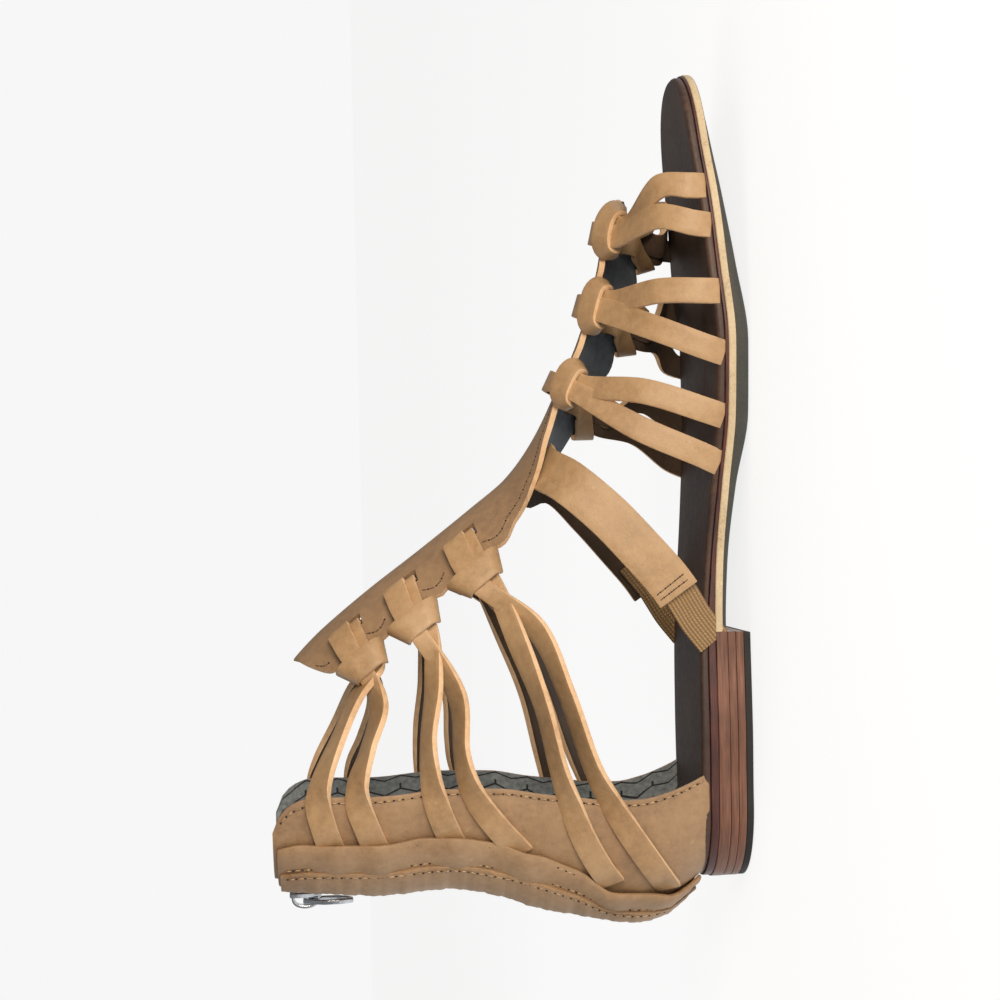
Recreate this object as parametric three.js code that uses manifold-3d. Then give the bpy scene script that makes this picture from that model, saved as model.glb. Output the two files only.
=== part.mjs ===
// Left gladiator sandal: a slotted centre plate carries twelve hitched straps, over a flat sole with a
// low stacked heel, and a zipped back quarter. Millimetres, +X to the toe, +Z up, +Y to the outer side.
import * as THREE from "three";
import { mergeVertices } from "three/addons/utils/BufferGeometryUtils.js";
import Module from "manifold-3d";

const wasm = await Module();
wasm.setup();

// ---- Driving dimensions -------------------------------------------------------------------------------
const SOLE_LENGTH = 254.7;
const GAP = 0.3; // clearance between pieces that touch
const HEEL_RADIUS = 26; // length of the round back end of the sole
const TOE_RADIUS = 26; // length of the round front end of the sole
const TOE_SHIFT = -4.5; // the toe tip leans to the big toe
const HEEL_BREAST = 79; // front face of the heel block
const FOOTBED_INSET = 0.8;
const STRAP_WIDTH = 7.8;
const STRAP_THICKNESS = 2;
const PLATE_THICKNESS = 1.8;
const QUARTER_THICKNESS = 1.8;
const BAND_THICKNESS = 1.4;
const BAND_LIFT = 0.7; // a zip band stands this far off the quarter
const INSTEP_WIDTH = 14;
const GORE_WIDTH = 11;
const GORE_THICKNESS = 1.6;
const TAIL_STEPS = 6;
const STRAP_SEAT = 1.2; // a strap's middle stands this far inside the sole's edge
const STRAP_SINK = 3; // a strap's end is cut this far below the midsole's top
const STRAP_RISE = 5; // a strap stands nearly upright for this height over the sole

// Half widths of the sole either side of the heel-to-ball line, without its round ends.
const SOLE_OUTLINE = [
  { x: 0, medial: 28.5, lateral: 29 },
  { x: 26, medial: 28.5, lateral: 29.5 },
  { x: 50, medial: 30, lateral: 31 },
  { x: 80, medial: 29.2, lateral: 31 },
  { x: 105, medial: 29.8, lateral: 33 },
  { x: 130, medial: 33.2, lateral: 37 },
  { x: 155, medial: 38.5, lateral: 41.5 },
  { x: 175, medial: 40.5, lateral: 42 },
  { x: 195, medial: 39.5, lateral: 40.2 },
  { x: 214, medial: 37.2, lateral: 35.6 },
  { x: 235, medial: 33, lateral: 28.5 },
  { x: SOLE_LENGTH, medial: 32.5, lateral: 26.5 },
];

// Heights of the sole's layers: underside, and the tops of outsole, midsole and footbed.
const SOLE_PROFILE = [
  { x: 0, under: 7.2, outsole: 10.7, midsole: 13.2, footbed: 16.2 },
  { x: 62, under: 7.2, outsole: 10.7, midsole: 13.2, footbed: 15.8 },
  { x: 80, under: 7.2, outsole: 10.9, midsole: 13.0, footbed: 15.4 },
  { x: 98, under: 6.5, outsole: 10.4, midsole: 11.9, footbed: 13.9 },
  { x: 124, under: 3.6, outsole: 8.3, midsole: 9.4, footbed: 11.6 },
  { x: 146, under: 0, outsole: 6.5, midsole: 7.5, footbed: 9.9 },
  { x: 168, under: 0, outsole: 6.4, midsole: 7.4, footbed: 9.8 },
  { x: 192, under: 3.3, outsole: 8.5, midsole: 9.5, footbed: 12.1 },
  { x: 210, under: 6.1, outsole: 10.1, midsole: 11, footbed: 13.6 },
  { x: 231, under: 9.4, outsole: 12.6, midsole: 13.4, footbed: 16.1 },
  { x: SOLE_LENGTH, under: 12.9, outsole: 14.9, midsole: 15.7, footbed: 18.2 },
];
const TOP_PIECE = { low: 0, high: 1.9 };
const HEEL_LIFT = { low: 2.2, high: 6.9 };

// The centre plate along its middle line: height, offset to the outer side, roll, half width and crown.
const PLATE = [
  { x: 216, z: 33.0, y: 6, roll: 20, half: 7, crown: 1 },
  { x: 213, z: 34.2, y: 6, roll: 22, half: 12, crown: 2 },
  { x: 206, z: 36, y: 6.5, roll: 24, half: 15.5, crown: 3 },
  { x: 192.5, z: 38.6, y: 7, roll: 25, half: 16.5, crown: 4 },
  { x: 181, z: 41.7, y: 7, roll: 25, half: 17, crown: 4 },
  { x: 169.8, z: 45.8, y: 7, roll: 24, half: 17, crown: 4 },
  { x: 155, z: 53.2, y: 7, roll: 22, half: 17, crown: 4 },
  { x: 139.5, z: 62.4, y: 5, roll: 15, half: 17.5, crown: 5 },
  { x: 127.5, z: 72, y: 2.5, roll: 7, half: 18, crown: 8 },
  { x: 118.3, z: 83.4, y: 0.5, roll: 0, half: 18, crown: 11.5 },
  { x: 104.2, z: 101.8, y: 0, roll: 0, half: 18, crown: 11.8 },
  { x: 93.4, z: 116.4, y: 0, roll: 0, half: 18, crown: 11.5 },
  { x: 81, z: 131.6, y: 0, roll: 0, half: 17, crown: 9.8 },
  { x: 77.5, z: 135.5, y: 0, roll: 0, half: 15.8, crown: 8.6 },
  { x: 75, z: 138.2, y: 0, roll: 0, half: 13, crown: 6 },
  { x: 73.8, z: 139.5, y: 0, roll: 0, half: 9, crown: 3 },
];

// Outer face of the back quarter in plan, at a height: its back, the depth of its round back, its half
// width, its front edge, and the seam where the zip band's front edge lies.
const QUARTER = [
  { z: 13.8, back: 1.2, depth: 26, half: 28, front: 35.6, seam: 3.4 },
  { z: 20, back: -4, depth: 30, half: 28.3, front: 32.4, seam: -0.6 },
  { z: 28, back: -8.6, depth: 33, half: 28.5, front: 29.4, seam: -1.2 },
  { z: 36, back: -10, depth: 34, half: 28.6, front: 27.8, seam: -1 },
  { z: 44, back: -9, depth: 34, half: 28.6, front: 27.9, seam: 0.4 },
  { z: 53, back: -7, depth: 33, half: 28.6, front: 29, seam: 6 },
  { z: 66, back: -4, depth: 31, half: 28.6, front: 30.6, seam: 12 },
  { z: 78, back: 0, depth: 29, half: 29, front: 32.6, seam: 16 },
  { z: 95, back: 2.6, depth: 28, half: 29.5, front: 33, seam: 19.2 },
  { z: 117, back: 1.6, depth: 28.5, half: 30, front: 31.4, seam: 17.6 },
  { z: 136, back: 2.2, depth: 29, half: 30, front: 31.8, seam: 18 },
  { z: 142, back: 2.8, depth: 28.5, half: 30, front: 30, seam: 17.6 },
  { z: 146, back: 3.4, depth: 28, half: 30, front: 26.5, seam: 17 },
  { z: 148.4, back: 3.8, depth: 27.6, half: 29.8, front: 21, seam: 16.6 },
];

// Where each strap is hitched to the plate (x on the plate's middle line).
const HITCHES = [205.5, 181, 156, 110.6, 96.6, 83.2];

// Forefoot tails: place at mid height and at the sole, for the front and rear tail of a strap.
const SOLE_TAILS = [
  { row: 0, front: { mid: 216.5, foot: 215.9 }, rear: { mid: 207, foot: 203.6 } },
  { row: 1, front: { mid: 184, foot: 183.3 }, rear: { mid: 172.5, foot: 164.4 } },
  { row: 2, front: { mid: 153.5, foot: 145.3 }, rear: { mid: 142.5, foot: 131 } },
];

// Ankle tails: points round the leg, then the end on the quarter. No y means it lies on the quarter.
const ANKLE_TAILS = [
  {
    row: 3,
    front: [{ x: 76.3, y: 31, z: 71.7 }, { x: 57.7, y: 33.5, z: 65.2 }, { x: 38, y: 32, z: 60.5 },
      { x: 27, z: 57 }, { x: 17.4, z: 53.3 }, { x: 7, z: 47.4 }],
    rear: [{ x: 81.4, y: 30, z: 66.4 }, { x: 61.6, y: 33.5, z: 57.9 }, { x: 38.5, y: 32, z: 50.2 },
      { x: 28, z: 45 }, { x: 18.9, z: 39.5 }, { x: 6, z: 30.4 }],
  },
  {
    row: 4,
    front: [{ x: 64.7, y: 29, z: 98.2 }, { x: 48.6, y: 32, z: 100.3 }, { x: 37, y: 32, z: 99.8 },
      { x: 30, z: 98.5 }, { x: 24, z: 96.5 }],
    rear: [{ x: 61, y: 29, z: 91 }, { x: 44.1, y: 32, z: 90.2 }, { x: 36, y: 32, z: 88.6 },
      { x: 29, z: 85.5 }, { x: 20.5, z: 79 }],
  },
  {
    row: 5,
    front: [{ x: 62.5, y: 25, z: 121.4 }, { x: 50.7, y: 30, z: 127.2 }, { x: 37, y: 32.4, z: 133 },
      { x: 30, z: 134.2 }, { x: 22, z: 132.4 }],
    rear: [{ x: 59, y: 25, z: 115 }, { x: 46, y: 30.5, z: 118.8 }, { x: 36, y: 32.4, z: 122 },
      { x: 29.5, z: 122 }, { x: 22, z: 119.4 }],
  },
];

// One half of a strap at its hitch, seen on the plate: along the plate, out past its edge, and lift off its
// middle surface, with the way the strap's outer face looks. It runs from the middle of the cross band,
// round behind the bar, up through the slot and out over the bar. The rear half lies on the front one by
// TAIL_STACK, times its share of stack.
const HITCH = [
  { along: -0.3, out: 5, lift: 7, face: [0, 0, 1], stack: 0 },
  { along: 5.6, out: 5, lift: 5.8, face: [0.5, 0, 0.85], stack: 0 },
  { along: 7.4, out: 5.6, lift: 2.6, face: [0.95, 0.1, 0.35], stack: 0 },
  { along: 7.4, out: 5.6, lift: -0.7, face: [0.8, 0.5, -0.5], stack: 0 },
  { along: 5.9, out: 1.2, lift: -3.9, face: [0.2, 0.3, -1], stack: 0 },
  { along: 2.6, out: -8, lift: -2.7, face: [0, 0, -1], stack: 1 },
  { along: 1.5, out: -10.4, lift: -1.2, face: [0, -1, -0.5], stack: 1 },
  { along: 1.5, out: -10.4, lift: 1.2, face: [0, -1, 0.5], stack: 1 },
  { along: 1.5, out: -8, lift: 2.8, face: [0, 0, 1], stack: 1 },
  { along: 1.5, out: -3, lift: 2.8, face: [0, 0, 1], stack: 1 },
  { along: 1.5, out: 4, lift: 2.5, face: [0, 0, 1], stack: 1 },
  { along: 1.5, out: 9, lift: 1.2, face: [0, 0, 1], stack: 0.5 },
];
const TAIL_STACK = 2.2;
const SLOT = { half: 6.9, deep: -14.2, shallow: -7.2, reach: 2 }; // half length, two edges as out, cut depth
const FOREFOOT_ROWS = 3; // the first straps, whose tails end in the sole
const TWIST = { start: 0.3, end: 0.9 }; // shares of a tail's run where it starts and ends its twist
const TAIL_BOW = { out: 0.78, down: 0.58 }; // a forefoot tail's middle: shares of its way out, and up

// The instep strap from under the plate, and the gore under its end, as far as the sole.
const INSTEP_ROOT = [
  { x: 133.5, across: 0.7, out: 0, lift: -4.3 },
  { x: 131, across: 1, out: 1, lift: -4.3 },
  { x: 127.5, across: 1, out: 6, lift: -4 },
];
const INSTEP_ROUTE = [
  { x: 116, y: 27, z: 43.5 }, { x: 105, y: 30.2, z: 33.6 }, { x: 96, y: 31.5, z: 26.3 },
  { x: 91.5, y: 31.8, z: 22.9 },
];
const GORE_ROUTE = [
  { x: 99.5, y: 28.7, z: 28.2 }, { x: 92, y: 29.3, z: 22.2 }, { x: 83, y: 28.8, z: 16.8 },
  { x: 74, y: 28.2, z: 9.5 },
];

const ZIP = { low: 27, high: 143, tapeHalf: 9, tape: 1.0, coilHalf: 1.6, coil: 2.3 };
// Opening in the quarter: half width, how far it starts below the zip, height, and a depth past the wall.
const SLIT = { half: 3, below: 2, height: 140, depth: 40 };
// Bands start this far from the middle, and further away above a height to leave the slider free.
const BAND_GAP = { low: 1.2, high: 5.2, change: 128 };
const SLIDER = { z: 139, width: 8.4, height: 10, depth: 4.6 };
// Bridge on the slider: its reach, thickness and width, the half heights of its feet and crown, outside
// and inside, and how far its feet sink in the body.
const BRIDGE = { reach: 3.9, thickness: 1, width: 3.4, foot: 4, crown: 2.6, opening: 1.6, sink: 0.4 };
const PULL = {
  length: 15, width: 10.4, thickness: 1.6, rim: 2, bar: 1.6, seat: 1.45, chamfer: 3, windowChamfer: 1.6,
};

const SIDES = [
  { name: "medial", sign: -1 },
  { name: "lateral", sign: 1 },
];

// ---- Colours ------------------------------------------------------------------------------------------
const finish = (color, roughness, metalness = 0) =>
  new THREE.MeshStandardMaterial({ color, roughness, metalness });
const FINISH = {
  strap: () => finish(0xc59b6c, 0.55),
  plate: () => finish(0xb08c68, 0.6),
  quarter: () => finish(0xa98360, 0.6),
  elastic: () => finish(0xb08858, 0.85),
  footbed: () => finish(0x4a3328, 0.6),
  midsole: () => finish(0x4a2218, 0.6),
  outsole: () => finish(0x54504a, 0.75),
  heel: () => finish(0x6b4a38, 0.5),
  rubber: () => finish(0x1c1a18, 0.8),
  tape: () => finish(0x7a4a20, 0.85),
  metal: () => finish(0xb9bcc0, 0.25, 1),
};

// ---- Tables and vectors -------------------------------------------------------------------------------
const vec = (x, y, z) => new THREE.Vector3(x, y, z);
const radians = THREE.MathUtils.degToRad;

// Value of a column at a place between rows, smooth and without overshoot.
function between(table, key, place, column) {
  const rising = table.at(-1)[key] > table[0][key];
  const rows = rising ? table : [...table].reverse();
  const at = THREE.MathUtils.clamp(place, rows[0][key], rows.at(-1)[key]);
  let i = 0;
  while (i < rows.length - 2 && at > rows[i + 1][key]) i++;
  const slope = (k) => {
    if (k <= 0 || k >= rows.length - 1) return null;
    const before = (rows[k][column] - rows[k - 1][column]) / (rows[k][key] - rows[k - 1][key]);
    const after = (rows[k + 1][column] - rows[k][column]) / (rows[k + 1][key] - rows[k][key]);
    return before * after <= 0 ? 0 : (2 * before * after) / (before + after);
  };
  const a = rows[i];
  const b = rows[i + 1];
  const span = b[key] - a[key];
  const straight = (b[column] - a[column]) / span;
  const m0 = slope(i) ?? straight;
  const m1 = slope(i + 1) ?? straight;
  const t = (at - a[key]) / span;
  return (
    a[column] * (1 + 2 * t) * (1 - t) ** 2 +
    m0 * span * t * (1 - t) ** 2 +
    b[column] * t * t * (3 - 2 * t) +
    m1 * span * t * t * (t - 1)
  );
}

// ---- Solids -------------------------------------------------------------------------------------------
function solidOf(points, triangles) {
  let volume = 0;
  for (const [a, b, c] of triangles) {
    volume += points[a].dot(points[b].clone().cross(points[c]));
  }
  const outward = volume > 0 ? triangles : triangles.map(([a, b, c]) => [a, c, b]);
  const geometry = new THREE.BufferGeometry().setFromPoints(points);
  geometry.setIndex(outward.flat());
  return geometry;
}

// A wall between two grids of points of the same size.
function wall(outer, inner) {
  const rows = outer.length;
  const columns = outer[0].length;
  const points = [...outer.flat(), ...inner.flat()];
  const top = (i, j) => i * columns + j;
  const under = (i, j) => rows * columns + i * columns + j;
  const triangles = [];
  const quad = (a, b, c, d) => triangles.push([a, b, c], [a, c, d]);
  for (let i = 0; i < rows - 1; i++) {
    for (let j = 0; j < columns - 1; j++) {
      quad(top(i, j), top(i + 1, j), top(i + 1, j + 1), top(i, j + 1));
      quad(under(i, j), under(i, j + 1), under(i + 1, j + 1), under(i + 1, j));
    }
    quad(top(i, 0), under(i, 0), under(i + 1, 0), top(i + 1, 0));
    const last = columns - 1;
    quad(top(i, last), top(i + 1, last), under(i + 1, last), under(i, last));
  }
  for (let j = 0; j < columns - 1; j++) {
    quad(top(0, j), top(0, j + 1), under(0, j + 1), under(0, j));
    quad(top(rows - 1, j), under(rows - 1, j), under(rows - 1, j + 1), top(rows - 1, j + 1));
  }
  return solidOf(points, triangles);
}

// A closed skin over rings of points, with a fan at each end.
function loft(rings) {
  const count = rings[0].length;
  const points = rings.flat();
  const middle = (ring) => ring.reduce((sum, p) => sum.add(p), vec(0, 0, 0)).divideScalar(count);
  const first = points.push(middle(rings[0])) - 1;
  const last = points.push(middle(rings.at(-1))) - 1;
  const triangles = [];
  for (let j = 0; j < count; j++) {
    const k = (j + 1) % count;
    for (let i = 0; i < rings.length - 1; i++) {
      const a = i * count + j;
      const b = i * count + k;
      triangles.push([a, a + count, b + count], [a, b + count, b]);
    }
    const end = (rings.length - 1) * count;
    triangles.push([first, j, k], [last, end + k, end + j]);
  }
  return solidOf(points, triangles);
}

// A flat strip along points; faces say which way its outer face looks.
function ribbon(points, faces, width, thickness) {
  const outer = [];
  const inner = [];
  points.forEach((p, i) => {
    const ahead = points[Math.min(i + 1, points.length - 1)];
    const behind = points[Math.max(i - 1, 0)];
    const along = ahead.clone().sub(behind).normalize();
    const across = along.clone().cross(faces[i]).normalize();
    const out = across.clone().cross(along).normalize();
    const edge = (side, lift) =>
      p.clone().addScaledVector(across, (side * width) / 2).addScaledVector(out, (lift * thickness) / 2);
    outer.push([edge(-1, 1), edge(1, 1)]);
    inner.push([edge(-1, -1), edge(1, -1)]);
  });
  return wall(outer, inner);
}

function manifoldOf(geometry) {
  const bare = geometry.clone();
  bare.deleteAttribute("normal");
  bare.deleteAttribute("uv");
  const merged = mergeVertices(bare, 1e-4);
  return new wasm.Manifold(
    new wasm.Mesh({
      numProp: 3,
      vertProperties: merged.attributes.position.array,
      triVerts: new Uint32Array(merged.index.array),
    }),
  );
}

function geometryOf(manifold) {
  const mesh = manifold.getMesh();
  const geometry = new THREE.BufferGeometry();
  geometry.setAttribute("position", new THREE.BufferAttribute(mesh.vertProperties, 3));
  geometry.setIndex(new THREE.BufferAttribute(mesh.triVerts, 1));
  return geometry;
}

const joined = (geometries) => geometries.map(manifoldOf).reduce((all, one) => all.add(one));
const largest = (manifold) => manifold.decompose().reduce((a, b) => (b.volume() > a.volume() ? b : a));
const smooth = (points, steps) =>
  new THREE.CatmullRomCurve3(points, false, "centripetal").getPoints(steps);

const group = new THREE.Group();
function place(name, geometry, material) {
  const mesh = new THREE.Mesh(geometry, material);
  mesh.name = name;
  group.add(mesh);
}

// ---- Sole ---------------------------------------------------------------------------------------------
const TOE_CURVE = 2.3; // the toe's outline as a superellipse: its exponent along, and across
const TOE_CURVE_ACROSS = 0.435;

// Edge of the sole at x, on one side, drawn in by an inset.
function soleEdge(x, sign, inset = 0) {
  const column = sign < 0 ? "medial" : "lateral";
  const heel = Math.max(0, (HEEL_RADIUS - x) / (HEEL_RADIUS - inset));
  const toe = Math.max(0, (x - SOLE_LENGTH + TOE_RADIUS) / (TOE_RADIUS - inset));
  const half = sign * (between(SOLE_OUTLINE, "x", x, column) - inset);
  const shift = x > SOLE_LENGTH / 2 ? TOE_SHIFT : 0;
  const back = Math.sqrt(Math.max(0, 1 - heel ** 2));
  const ends = back * Math.max(0, 1 - toe ** TOE_CURVE) ** TOE_CURVE_ACROSS;
  return shift + (half - shift) * ends;
}

// A layer of the sole between two heights, which may change along it, with small round edges.
function soleLayer(settings) {
  const { low, high, inset = 0, round = 0.6, steps = 30 } = settings;
  const { from = inset, to = SOLE_LENGTH - inset } = settings;
  const rings = [];
  for (let i = 0; i <= steps; i++) {
    const x = from + (to - from) * (1 - Math.cos((Math.PI * i) / steps)) * 0.5;
    const spot = THREE.MathUtils.clamp(x, from + 0.05, to - 0.05);
    const z0 = low(x);
    const z1 = high(x);
    const m = soleEdge(spot, -1, inset);
    const l = soleEdge(spot, 1, inset);
    const r = Math.min(round, (l - m) / 3, (z1 - z0) * 0.4);
    rings.push([
      vec(x, m + r, z0), vec(x, m, z0 + r), vec(x, m, z1 - r), vec(x, m + r, z1),
      vec(x, l - r, z1), vec(x, l, z1 - r), vec(x, l, z0 + r), vec(x, l - r, z0),
    ]);
  }
  return loft(rings);
}

const profile = (column, shift = 0) => (x) => between(SOLE_PROFILE, "x", x, column) + shift;
const level = (z) => () => z;

place(
  "outsole",
  soleLayer({ low: profile("under"), high: profile("outsole"), steps: 34 }),
  FINISH.outsole(),
);
place(
  "midsole",
  soleLayer({ low: profile("outsole", GAP), high: profile("midsole"), inset: 0.3, round: 0.25 }),
  FINISH.midsole(),
);
const heelEnds = { to: HEEL_BREAST, steps: 18 };
place(
  "heel_lift",
  soleLayer({
    low: level(HEEL_LIFT.low), high: level(HEEL_LIFT.high), inset: 0.2, round: 0.3, ...heelEnds,
  }),
  FINISH.heel(),
);
place(
  "top_piece",
  soleLayer({
    low: level(TOP_PIECE.low), high: level(TOP_PIECE.high), inset: 0.4, round: 0.3, ...heelEnds,
  }),
  FINISH.rubber(),
);

// ---- Centre plate -------------------------------------------------------------------------------------
const plateValue = (x, column) => between(PLATE, "x", x, column);

// Point on the plate's middle surface at x, across from -1 (inner side) to 1, with its own directions.
function plateAt(x, across) {
  const centre = (at) => vec(at, plateValue(at, "y"), plateValue(at, "z"));
  const along = centre(x + 1).sub(centre(x - 1)).normalize();
  const roll = radians(plateValue(x, "roll"));
  const side = vec(0, Math.cos(roll), -Math.sin(roll));
  const up = along.clone().cross(side).normalize();
  side.copy(up).cross(along).normalize();
  const half = plateValue(x, "half");
  const crown = plateValue(x, "crown");
  const point = centre(x).addScaledVector(side, across * half);
  point.addScaledVector(up, -crown * across * across);
  const outward = side.clone().multiplyScalar(half).addScaledVector(up, -2 * crown * across).normalize();
  const normal = along.clone().cross(outward).normalize();
  return { point, along, outward, normal };
}

function plateSurface(rows, columns) {
  const outer = [];
  const inner = [];
  const front = PLATE[0].x;
  const back = PLATE.at(-1).x;
  for (let i = 0; i <= rows; i++) {
    const x = front + ((back - front) * i) / rows;
    const spots = Array.from({ length: columns + 1 }, (_, j) => plateAt(x, (2 * j) / columns - 1));
    const shifted = (lift) => spots.map((s) => s.point.clone().addScaledVector(s.normal, lift));
    outer.push(shifted(PLATE_THICKNESS / 2));
    inner.push(shifted(-PLATE_THICKNESS / 2));
  }
  return wall(outer, inner);
}

// ---- Back quarter -------------------------------------------------------------------------------------
const quarterValue = (z, column) => between(QUARTER, "z", z, column);

// Where a column's x lies round the quarter: 0 at the centre back, 1 where the round back ends.
function turnOf(z, x) {
  const back = quarterValue(z, "back");
  const depth = quarterValue(z, "depth");
  const share = (x - back) / depth;
  return share < 1 ? Math.acos(1 - share) / (Math.PI / 2) : share;
}

// Point on the quarter's outer face, lifted off it; turn runs round from the centre back.
function quarterAt(z, turn, sign, lift) {
  const back = quarterValue(z, "back");
  const depth = quarterValue(z, "depth");
  const half = quarterValue(z, "half");
  const angle = Math.min(turn, 1) * (Math.PI / 2);
  const x = back + depth * (1 - Math.cos(angle)) + depth * Math.max(0, turn - 1);
  const out = vec(-half * Math.cos(angle), depth * Math.sin(angle), 0).normalize();
  return vec(x + out.x * lift, sign * (half * Math.sin(angle) + out.y * lift), z);
}

const heights = (from, to, count) =>
  Array.from({ length: count + 1 }, (_, i) => from + ((to - from) * i) / count);
const QUARTER_LOW = QUARTER[0].z;
const QUARTER_HIGH = QUARTER.at(-1).z;

function quarterWall(outerLift, innerLift) {
  const levels = [...heights(QUARTER_LOW, 140, 10), 144.5, QUARTER_HIGH];
  const grid = (lift) =>
    levels.map((z) => {
      const end = turnOf(z, quarterValue(z, "front"));
      const turns = heights(-1, 1, 16).map((t) => t * end);
      return turns.map((turn) => quarterAt(z, Math.abs(turn), Math.sign(turn) || 1, lift));
    });
  return wall(grid(outerLift), grid(innerLift));
}

// A band on the quarter from near the centre back to the seam.
function zipBand(sign) {
  const levels = heights(QUARTER_LOW + 0.6, QUARTER_HIGH - 1.2, 11);
  const grid = (lift) =>
    levels.map((z) => {
      const gap = z > BAND_GAP.change ? BAND_GAP.high : BAND_GAP.low;
      const first = Math.asin(gap / quarterValue(z, "half")) / (Math.PI / 2);
      const end = turnOf(z, quarterValue(z, "seam"));
      return heights(first, end, 4).map((turn) => quarterAt(z, turn, sign, lift));
    });
  return wall(grid(BAND_LIFT + BAND_THICKNESS), grid(BAND_LIFT));
}

const slit = new THREE.BoxGeometry(SLIT.depth, 2 * SLIT.half, SLIT.height);
slit.translate(0, 0, ZIP.low - SLIT.below + SLIT.height / 2);
place(
  "back_quarter",
  geometryOf(manifoldOf(quarterWall(0, -QUARTER_THICKNESS)).subtract(manifoldOf(slit))),
  FINISH.quarter(),
);
for (const { name, sign } of SIDES) {
  place("zip_band_" + name, zipBand(sign), FINISH.quarter());
}

// ---- Zip ----------------------------------------------------------------------------------------------
// Tape behind the slit with the closed coil as a rib down its middle.
function zipTape() {
  const tapeLift = -QUARTER_THICKNESS - 3 * GAP;
  const spots = [
    [ZIP.tapeHalf, tapeLift], [ZIP.coilHalf, tapeLift], [ZIP.coilHalf, tapeLift + ZIP.coil],
    [-ZIP.coilHalf, tapeLift + ZIP.coil], [-ZIP.coilHalf, tapeLift], [-ZIP.tapeHalf, tapeLift],
    [-ZIP.tapeHalf, tapeLift - ZIP.tape], [ZIP.tapeHalf, tapeLift - ZIP.tape],
  ];
  const rings = heights(ZIP.low, ZIP.high, 14).map((z) =>
    spots.map(([y, lift]) => {
      const turn = Math.asin(Math.abs(y) / quarterValue(z, "half")) / (Math.PI / 2);
      return quarterAt(z, turn, Math.sign(y), lift);
    }),
  );
  return loft(rings);
}
place("zip_tape", zipTape(), FINISH.tape());

// Slider body with its bridge; it straddles the coil.
const sliderX = quarterValue(SLIDER.z, "back") - GAP - SLIDER.depth / 2;
function zipSlider() {
  const body = new THREE.BoxGeometry(SLIDER.depth, SLIDER.width, SLIDER.height);
  body.translate(sliderX, 0, SLIDER.z);
  const { reach, thickness, foot, crown, opening, sink } = BRIDGE;
  const bridge = new THREE.Shape();
  bridge.moveTo(sink, foot);
  bridge.lineTo(-reach, crown);
  bridge.lineTo(-reach, -crown);
  bridge.lineTo(sink, -foot);
  bridge.lineTo(sink, -crown);
  bridge.lineTo(-reach + thickness, -opening);
  bridge.lineTo(-reach + thickness, opening);
  bridge.lineTo(sink, crown);
  const arch = new THREE.ExtrudeGeometry(bridge, { depth: BRIDGE.width, bevelEnabled: false });
  arch.translate(0, 0, -BRIDGE.width / 2).rotateX(Math.PI / 2);
  arch.translate(sliderX - SLIDER.depth / 2, 0, SLIDER.z);
  return geometryOf(joined([body, arch]));
}
place("zip_slider", zipSlider(), FINISH.metal());

// Six-sided pull frame; its top bar passes through the bridge and is what it swings on.
function zipPull() {
  const hexagon = (half, top, bottom, chamfer) =>
    [
      [half - chamfer, top], [half, top - chamfer], [half, bottom + chamfer], [half - chamfer, bottom],
      [chamfer - half, bottom], [-half, bottom + chamfer], [-half, top - chamfer], [chamfer - half, top],
    ].map(([y, z]) => new THREE.Vector2(y, z));
  const frame = new THREE.Shape(hexagon(PULL.width / 2, PULL.bar / 2, -PULL.length, PULL.chamfer));
  const rim = PULL.rim;
  const opening = hexagon(PULL.width / 2 - rim, -PULL.bar / 2, rim - PULL.length, PULL.windowChamfer);
  frame.holes.push(new THREE.Path(opening.reverse()));
  const plate = new THREE.ExtrudeGeometry(frame, { depth: PULL.thickness, bevelEnabled: false });
  plate.translate(0, 0, -PULL.thickness / 2).rotateX(Math.PI / 2).rotateZ(Math.PI / 2);
  return plate.translate(sliderX - SLIDER.depth / 2 - PULL.seat, 0, SLIDER.z);
}
place("zip_pull", zipPull(), FINISH.metal());

// ---- Hitched straps -----------------------------------------------------------------------------------
// Point near a hitch: along the plate, out past its edge, and lift off its middle surface.
function atHitch(row, sign, { along, out, lift }) {
  const x = HITCHES[row];
  const middle = plateAt(x, sign);
  const slope = Math.hypot(1, plateValue(x + 1, "z") - plateValue(x, "z"));
  const at = x + along / slope;
  const half = plateValue(at, "half");
  const spot = plateAt(at, sign * Math.max(0, 1 + Math.min(out, 0) / half));
  const point = spot.point.clone().addScaledVector(spot.normal, lift);
  point.addScaledVector(middle.outward, sign * Math.max(0, out));
  return { point, spot, outward: spot.outward.clone().multiplyScalar(sign) };
}

// Middle line and outer faces of one half of a strap at its hitch: front (1) or rear (-1).
function hitchHalf(row, sign, half) {
  const stack = half < 0 ? TAIL_STACK : 0;
  const points = [];
  const faces = [];
  for (const r of HITCH) {
    const { point, spot, outward } = atHitch(row, sign, { ...r, along: half * r.along });
    const face = spot.along.clone().multiplyScalar(half * r.face[0]);
    face.addScaledVector(outward, r.face[1]).addScaledVector(spot.normal, r.face[2]).normalize();
    points.push(point.addScaledVector(face, r.stack * stack));
    faces.push(face);
  }
  return { points, faces };
}

// Outer faces along a line whose strap keeps its width along one direction at the plate, and another
// at its end.
function facesOf(points, widthStart, widthEnd, sign) {
  return points.map((p, i) => {
    const ahead = points[Math.min(i + 1, points.length - 1)];
    const behind = points[Math.max(i - 1, 0)];
    const along = ahead.clone().sub(behind).normalize();
    const share = THREE.MathUtils.smoothstep(i / (points.length - 1), TWIST.start, TWIST.end);
    const width = widthStart.clone().lerp(widthEnd, share);
    return along.cross(width).multiplyScalar(sign);
  });
}

// All that lies under the straps' lower ends.
const UNDER = { low: -5, spread: 6 }; // it starts below the ground and spreads past the sole
const underStraps = manifoldOf(
  soleLayer({
    low: level(UNDER.low), high: profile("midsole", GAP), inset: -UNDER.spread, round: 0.1, steps: 24,
  }),
);

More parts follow.
